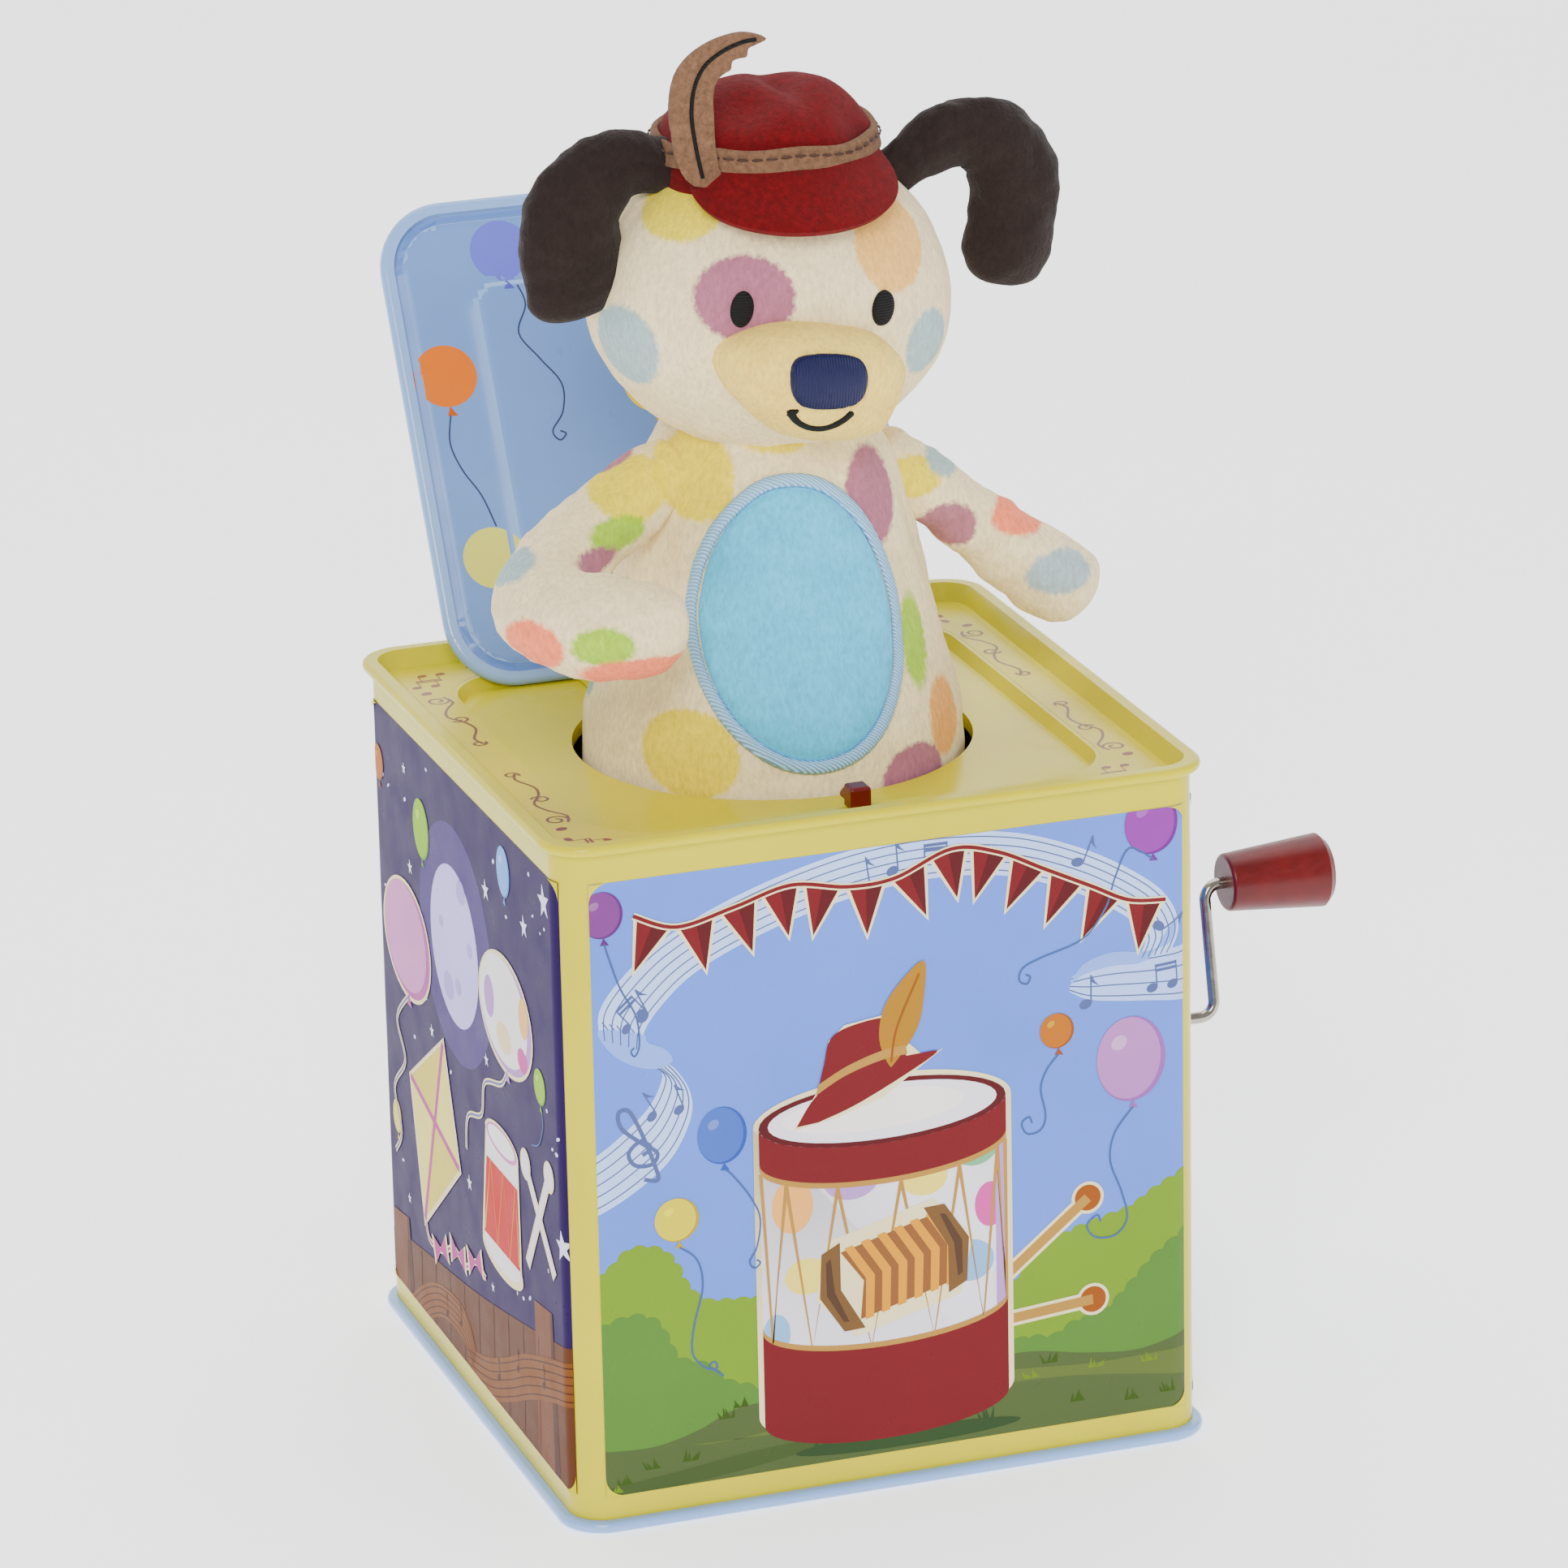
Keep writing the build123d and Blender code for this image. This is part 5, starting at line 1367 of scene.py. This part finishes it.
right_ear = stuffed_tube(
    [(18, -6, 255, 4.2, 3.8), (26, -6, 259.5, 4.8, 4.2), (34, -6, 264, 6.0, 4.8),
     (42, -6, 266.2, 7.4, 5.4), (49, -6.5, 262.5, 8.8, 6.0), (52, -7, 255, 9.4, 6.2),
     (51.4, -7, 247, 9.4, 6.2), (50, -7, 239.5, 9.4, 6.0), (48.8, -7, 233.5, 8.2, 5.4)],
    rows=90, columns=40, wrinkle=0.5, seam=0.5, seam_side=(0, -1, 0.2), seed=5.0,
)
right_ear = mesh_piece("right_ear_cloth", *right_ear, EAR_CLOTH, "puppet", "right_ear", "brown_plush")

# hat
RED_FELT = felt("red_felt", "#78282C", 0.03)
TAN_FELT = felt("tan_felt", "#8E7767", 0.04)
HAT = Vector((-0.6, -5, 262))


def crown_point(d):
    """The crushed crown, with a pinch at the front and a crease along the top."""
    flat = math.hypot(d.x, d.y)
    r = 1 / ((flat / 22.5) ** 2.7 + (max(d.z, 0) / 18.6) ** 2.7 + (max(-d.z, 0) / 6.0) ** 2.7) ** (1 / 2.7)
    p = d * r
    dent = 3.4 * math.exp(-(((p.x + 8) / 5.5) ** 2 + ((p.y + 12) / 9) ** 2)) * max(0, d.z)
    dent += 2.6 * math.exp(-(((p.x - 4) / 3.2) ** 2 + ((p.y + 2) / 15) ** 2)) * max(0, d.z)
    dent += 2.0 * math.exp(-(((p.x - 15) / 5) ** 2 + ((p.y + 15) / 7) ** 2)) * max(0, d.z + 0.2)
    rise = 1.6 * math.exp(-(((p.x - 11) / 7) ** 2)) * max(0, d.z)
    r += -dent + rise * 0.6 + 0.6 * noise.noise(p * 0.12 + Vector((3, 1, 0)))
    return d * r


crown = ball_mesh(HAT, crown_point, 60, 96)
crown = mesh_piece("hat_crown_felt", *crown, RED_FELT, "puppet", "hat_crown", "red_felt")


def felt_strip(name, inner, outer, thick, material, node, slot_name, closed=False):
    """A strip of felt between two lines of 3-D points, with its thickness and soft edges."""
    rows, across = len(inner), 5
    verts = []
    for i in range(rows):
        a, b = Vector(inner[i]), Vector(outer[i])
        before = Vector(inner[i - 1 if i or closed else 0])
        after = Vector(inner[(i + 1) % rows if closed else min(i + 1, rows - 1)])
        normal = (after - before).cross(b - a).normalized()
        steps = [a.lerp(b, k / across) for k in range(across + 1)]
        verts += [tuple(p + normal * thick / 2) for p in steps]
        verts += [tuple(p - normal * thick / 2) for p in steps[::-1]]
    faces = grid_faces(rows, 2 * (across + 1), "loop" if closed else "caps")
    made = mesh_piece(name, verts, faces, material, None, node, slot_name)
    softer = made.modifiers.new("round", "BEVEL")
    softer.width = 0.35 * MM
    softer.segments = 2
    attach(made, "puppet")
    return made


def band_line(r, z, n=96):
    """A wavering ring round the crown."""
    found = []
    for k in range(n):
        a = 2 * math.pi * k / n
        waver = 0.3 * math.sin(3 * a + 1) + 0.3 * math.sin(7 * a)
        found.append((HAT.x + r * math.cos(a), HAT.y + r * math.sin(a), z + waver))
    return found


low_edge, high_edge = band_line(22.9, 267.0), band_line(21.9, 271.6)
felt_strip("hat_band_felt", low_edge, high_edge, 1.4, TAN_FELT, "hat_band", "tan_felt", True)


def dashes(name, points, radius, keep, material, slot_name):
    """Running stitches: short rounded lengths of thread along a line of points."""
    verts, faces, n = [], [], 6
    for i in range(0, len(points) - keep, keep + 1):
        part = [Vector(p) for p in points[i : i + keep + 1]]
        faces += [tuple(len(verts) + corner for corner in f) for f in grid_faces(len(part), n, "caps")]
        for k, p in enumerate(part):
            d = heading(part, k)
            side = d.cross(Vector((0, 0, 1))).normalized()
            w = radius * (0.55 if k in (0, len(part) - 1) else 1.0)
            verts += ring_points(p, side, d.cross(side), w, w, n)
    mesh_piece(name, verts, faces, material, "puppet", None, slot_name)


DARK_TAN_THREAD = thread("tan_thread", "#5E4A40", "Z", 0.6)
dashes("band_stitching", band_line(23.3, 270.0, 200), 0.28, 3, DARK_TAN_THREAD, "tan_felt")


def brim_lines():
    """The inner and outer edge of the crescent brim, which slopes down over the forehead."""
    inner, outer, n = [], [], 40
    for k in range(n + 1):
        t = -1 + 2 * k / n
        a = math.radians(-88 + 60 * t)
        reach = 0.6 + 14.4 * max(0.0, 1 - t * t) ** 0.62
        inner.append((HAT.x + 22.2 * math.cos(a), HAT.y + 22.2 * math.sin(a), 267.6))
        lean = Vector((math.cos(a), math.sin(a), -1.05)).normalized()
        p = Vector(inner[-1]) + lean * reach
        outer.append(tuple(p + Vector((0, 0, -0.8 * t * t))))
    return inner, outer


inner_line, outer_line = brim_lines()
brim = felt_strip("hat_brim_felt", inner_line, outer_line, 1.7, RED_FELT, "hat_brim", "red_felt")

# feather: a flat felt leaf with notches and a stitched spine
FEATHER_OUTLINE = [
    (-23.2, 266.5), (-26.2, 271), (-27.4, 277), (-27.8, 283), (-26.6, 288.8), (-23.6, 292.6), (-19, 295.2),
    (-14, 296.4), (-10.6, 296.2), (-7.4, 294.9), (-9.4, 293.9), (-11.2, 293.2), (-11.6, 291.6),
    (-13.2, 291.4), (-14.6, 290.9), (-15, 289.3), (-16.4, 288.6), (-18.0, 287.2), (-18.8, 284.2),
    (-18.7, 280), (-18.6, 275), (-18.0, 270), (-17.4, 266.5),
]


def feather_place(x, z, ahead=0.0):
    """The felt leans against the crown's left front and bows outwards a little."""
    y = -22.3 - 0.012 * (z - 262) ** 1.2 - ahead
    return Vector((x + 0.338 * (y + 27 + ahead), y, z - 0.278 * (y + 27 + ahead))) * MM


def feather_piece():
    """The flat leaf, cut across so that it can bend, and thickened by a modifier."""
    shape = bmesh.new()
    front = [shape.verts.new((x, z, 0)) for x, z in smooth_line(FEATHER_OUTLINE, 3, True)]
    edges = [shape.edges.new((front[i - 1], front[i])) for i in range(len(front))]
    bmesh.ops.triangle_fill(shape, edges=edges, use_beauty=True, use_dissolve=False)
    for z in range(268, 296, 3):
        geometry = shape.verts[:] + shape.edges[:] + shape.faces[:]
        bmesh.ops.bisect_plane(shape, geom=geometry, plane_co=(0, z, 0), plane_no=(0, 1, 0))
    for v in shape.verts:
        v.co = feather_place(v.co.x, v.co.y)
    mesh = bpy.data.meshes.new("feather_felt")
    shape.to_mesh(mesh)
    shape.free()
    mesh.materials.append(TAN_FELT)
    made = add("feather_felt", mesh)
    thick = made.modifiers.new("thick", "SOLIDIFY")
    thick.thickness = 1.4 * MM
    thick.offset = 0
    store_rest(made)
    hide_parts("feather")
    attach(made, "puppet")


feather_piece()


def tube_along(name, points, radius, material, body, slot_name):
    """A round cord through 3-D points."""
    stations = [(*p, 1) for p in points]
    count, n = 8 * (len(points) - 1), 8
    line = [Vector(spline3(stations, k / count)[:3]) for k in range(count + 1)]
    verts = []
    side = Vector((0, 1, 0))
    for i, p in enumerate(line):
        d = heading(line, i)
        side = (side - d * side.dot(d)).normalized()
        verts += ring_points(p, side, d.cross(side), radius, radius, n)
    mesh_piece(name, verts, grid_faces(len(line), n, "caps"), material, body, None, slot_name)


SPINE = [
    (-21.4, 268), (-22.6, 274), (-23.4, 281), (-22.6, 286.6), (-20.4, 290.6), (-16.6, 293.2),
    (-12.6, 294.6), (-9.6, 294.9),
]
spine_line = [feather_place(x, z, 0.75) * 1000 for x, z in SPINE]
tube_along("feather_spine", spine_line, 0.42, BLACK_THREAD, "puppet", "black_thread")

# body
BODY_PROFILE = [
    (32.5, 5), (34.5, 40), (36.5, 80), (38.6, 120), (39.7, 138), (39.3, 148), (36.8, 158), (34.0, 168),
    (31.6, 178), (29.6, 187), (27.2, 196), (24.4, 204), (21.0, 210), (17.5, 214),
]
BODY_SPOTS = [
    (-20.5, -15, 203.5, 7.4, 14, 9.6, SPOT_YELLOW), (14.6, -22, 196.8, 6.4, 14, 10.2, SPOT_MAUVE),
    (-27, -28, 148.5, 9.0, 16, 9.2, SPOT_YELLOW), (18.5, -36, 140.2, 8.6, 14, 7.2, SPOT_MAUVE),
    (28, -26, 149.5, 5.2, 12, 8.0, "#E4B684"), (21.8, -26.5, 166.5, 3.6, 12, 9.6, SPOT_LIME),
    (-36, -6, 178, 5, 12, 8, SPOT_LIME), (-5, -22, 210.8, 7.5, 10, 3.2, SPOT_YELLOW),
    (-8, 36, 150, 9, 9, 9, SPOT_CORAL), (14, 31, 178, 8, 9, 8, SPOT_BLUE),
    (-20, 26, 182, 8, 9, 8, SPOT_MAUVE), (30, 20, 158, 7, 9, 9, SPOT_YELLOW),
    (-34, 12, 158, 6, 9, 8, SPOT_BLUE), (6, 24, 202, 8, 9, 7, SPOT_PEACH),
]


def body_point(a, z, inset=0.0):
    """A point of the sleeve at an angle and a height: gathered at the neck, creased under the arms."""
    r = float(np.interp(z, [p[1] for p in BODY_PROFILE], [p[0] for p in BODY_PROFILE])) - inset
    x, y = r * math.cos(a), r * math.sin(a)
    gather = max(0, (z - 188) / 26)
    r += 0.7 * gather * math.sin(11 * a + 0.8) * (1 if z < 212 else 0.5)
    r += 1.0 * noise.noise(Vector((x, y, z * 0.5)) * 0.045) + 0.4 * noise.noise(Vector((x, y, z)) * 0.14)
    # creases that run down from the armpits
    for centre, lean in ((math.radians(205), 0.012), (math.radians(330), -0.01)):
        off = (a - centre - lean * (z - 190) + math.pi) % (2 * math.pi) - math.pi
        r -= 1.3 * math.exp(-((off / 0.09) ** 2)) * math.exp(-(((z - 180) / 16) ** 2))
    if z < 139:
        r = min(r, 40.2)
    return r * math.cos(a), r * math.sin(a), z


def body_piece():
    """The sleeve, with its lining, as one closed skin."""
    rows, columns = 150, 128
    angles = [2 * math.pi * c / columns for c in range(columns)]
    heights = [5 + (214 - 5) * k / rows for k in range(rows + 1)]
    verts = [body_point(a, z) for z in heights for a in angles]
    # turn over the top and line the inside
    inside = heights[::-3]
    verts += [body_point(a, z, 1.6) for z in inside for a in angles]
    return verts, grid_faces(len(heights) + len(inside), columns, "loop")


BODY_CLOTH = plush("body_cloth", CREAM_CLOTH, BODY_SPOTS)
body_skin = mesh_piece("body_skin", *body_piece(), BODY_CLOTH, None, "torso_sleeve", "dotted_plush")
body_tree = tree_of(body_skin)
PATCH_CLOTH = plush("patch_cloth", "#8CCFEA", sheen=0.15)
BORDER_THREAD = thread("border_thread", "#BBD8F6", "DIAGONAL", 0.36, 0.5)


def egg(rx, rz, n):
    """The patch's outline, a little narrower at the top."""
    found = []
    for k in range(n):
        a = 2 * math.pi * k / n
        squeeze = 1 - 0.10 * math.sin(a)
        found.append((-3.4 + rx * math.cos(a) * squeeze, 174.6 + rz * math.sin(a)))
    return found


patch = applique(
    "belly_patch_cloth", body_tree, egg(20.0, 27.6, 72), 0.9, 0.6, PATCH_CLOTH, None,
    "belly_patch", "blue_plush",
    rings=14,
)


def patch_ring():
    """A rope of satin stitch round the patch."""
    line = egg(20.6, 28.2, 180)
    verts, n = [], 8
    for i, (x, z) in enumerate(line):
        hit, normal = front_of(body_tree, x, z)
        p, q = line[i - 1], line[(i + 1) % len(line)]
        side = normal.cross(Vector((q[0] - p[0], 0, q[1] - p[1])).normalized()).normalized()
        beat = 1 + 0.05 * math.sin(i * 2.6)
        verts += ring_points(hit * 1000, side, normal, 1.4 * beat, 0.7 * beat, n, 0.5)
    return verts, grid_faces(len(line), n, "loop")


border = mesh_piece(
    "patch_border_stitching", *patch_ring(), BORDER_THREAD, None, "patch_border", "satin_thread",
)

# arms
ARM_SPOTS_LEFT = [
    (-33.8, -13, 201.8, 8.4, 10, 7.2, SPOT_YELLOW), (-37, -19, 193.6, 7.5, 6, 3.8, SPOT_LIME),
    (-43.8, -22, 189.6, 7.5, 7, 2.6, SPOT_MAUVE), (-62, -36, 178.5, 6.0, 9, 5.4, SPOT_CORAL),
    (-50.5, -46, 179.6, 6.4, 7, 4.2, SPOT_LIME), (-41, -45, 172.6, 14, 12, 4.4, SPOT_CORAL),
    (-60.5, -19, 190, 5, 8, 5, SPOT_BLUE), (-35.3, -2, 206, 6, 6, 4.2, SPOT_MAUVE),
    (-46, 2, 190, 7, 6, 5, SPOT_PEACH), (-20.5, -13, 204, 7.4, 12, 9.6, SPOT_YELLOW),
]
ARM_SPOTS_RIGHT = [
    (27.6, -11, 196.0, 6.8, 9, 4.4, SPOT_YELLOW), (35.4, -10, 184.5, 6.2, 8, 5.2, "#A97C8C"),
    (52.5, -8, 185.0, 8.6, 8, 4.6, SPOT_CORAL), (59.5, -12, 172.2, 7.6, 8, 4.8, "#B7C6CC"),
    (35.7, -6, 198, 4.4, 8, 3.4, SPOT_BLUE), (46, 4, 180, 6, 7, 6, SPOT_LIME),
    (60, 6, 172, 6, 6, 6, SPOT_YELLOW),
]
LEFT_CLOTH = plush("left_arm_cloth", CREAM_CLOTH, ARM_SPOTS_LEFT)
RIGHT_CLOTH = plush("right_arm_cloth", CREAM_CLOTH, ARM_SPOTS_RIGHT)
left_arm = stuffed_tube(
    [(-19.5, -3, 203, 6.2, 6.6), (-24.5, -4.5, 200.8, 7.4, 7.6), (-31, -7, 197.8, 8.0, 8.0),
     (-41, -10, 192, 8.4, 8.6), (-50.5, -15, 186.5, 9.0, 9.6), (-55.5, -24, 183, 9.6, 10.4),
     (-53, -32, 181.2, 10.4, 10.6), (-46, -37, 180.6, 10.8, 10.2), (-38, -38.5, 180, 10.2, 9.4),
     (-31, -39, 179.4, 8.4, 8.0)],
    rows=120, columns=48, wrinkle=0.5, seam=0.7, seam_side=(0.1, -0.8, -0.6), seed=7.0,
)
left_arm = mesh_piece("left_arm_skin", *left_arm, LEFT_CLOTH, None, "left_arm", "dotted_plush")
right_arm = stuffed_tube(
    [(21, -4, 202.6, 5.7, 6.0), (25, -4, 198.4, 6.4, 6.8), (30.5, -4, 193.4, 6.8, 7.2),
     (40, -4, 185.6, 7.2, 7.5), (49, -4, 178.2, 7.9, 8.0), (56.5, -4, 172.2, 8.7, 8.6),
     (63, -4, 167.4, 8.8, 8.6), (68.4, -4, 163.8, 7.2, 7.2)],
    rows=100, columns=48, wrinkle=0.45, seam=0.7, seam_side=(0.5, 0.1, 0.8), seed=9.0,
)
right_arm = mesh_piece("right_arm_skin", *right_arm, RIGHT_CLOTH, None, "right_arm", "dotted_plush")

# ---------------------------------------------------------------- where the soft pieces are held: the sleeve, patch and border by the box, and the arms' places baked into their meshes
for piece in (body_skin, patch, border):
    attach(piece, "box")
    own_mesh(piece)
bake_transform(left_arm)
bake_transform(right_arm)


def coil_spring():
    """The main spring as a wire helix with closed end turns."""
    turns, n = 13, 8
    r, wire = 19.0, 0.9
    low, high = 3.7, 196.2
    verts = []
    count = turns * 30
    for i in range(count + 1):
        t = i / count
        ease = min(1, max(0, (t * turns - 0.8) / (turns - 1.6)))
        a = 2 * math.pi * turns * t
        out = Vector((math.cos(a), math.sin(a), 0))
        centre = out * r + Vector((0, 0, low + (high - low) * ease))
        verts += ring_points(centre, out, Vector((0, 0, 1)), wire, wire, n)
    return verts, grid_faces(count + 1, n, "caps")


spring = mesh_piece("main_spring_wire", *coil_spring(), DARK_STEEL, "box", "main_spring", "spring_steel")
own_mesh(spring)
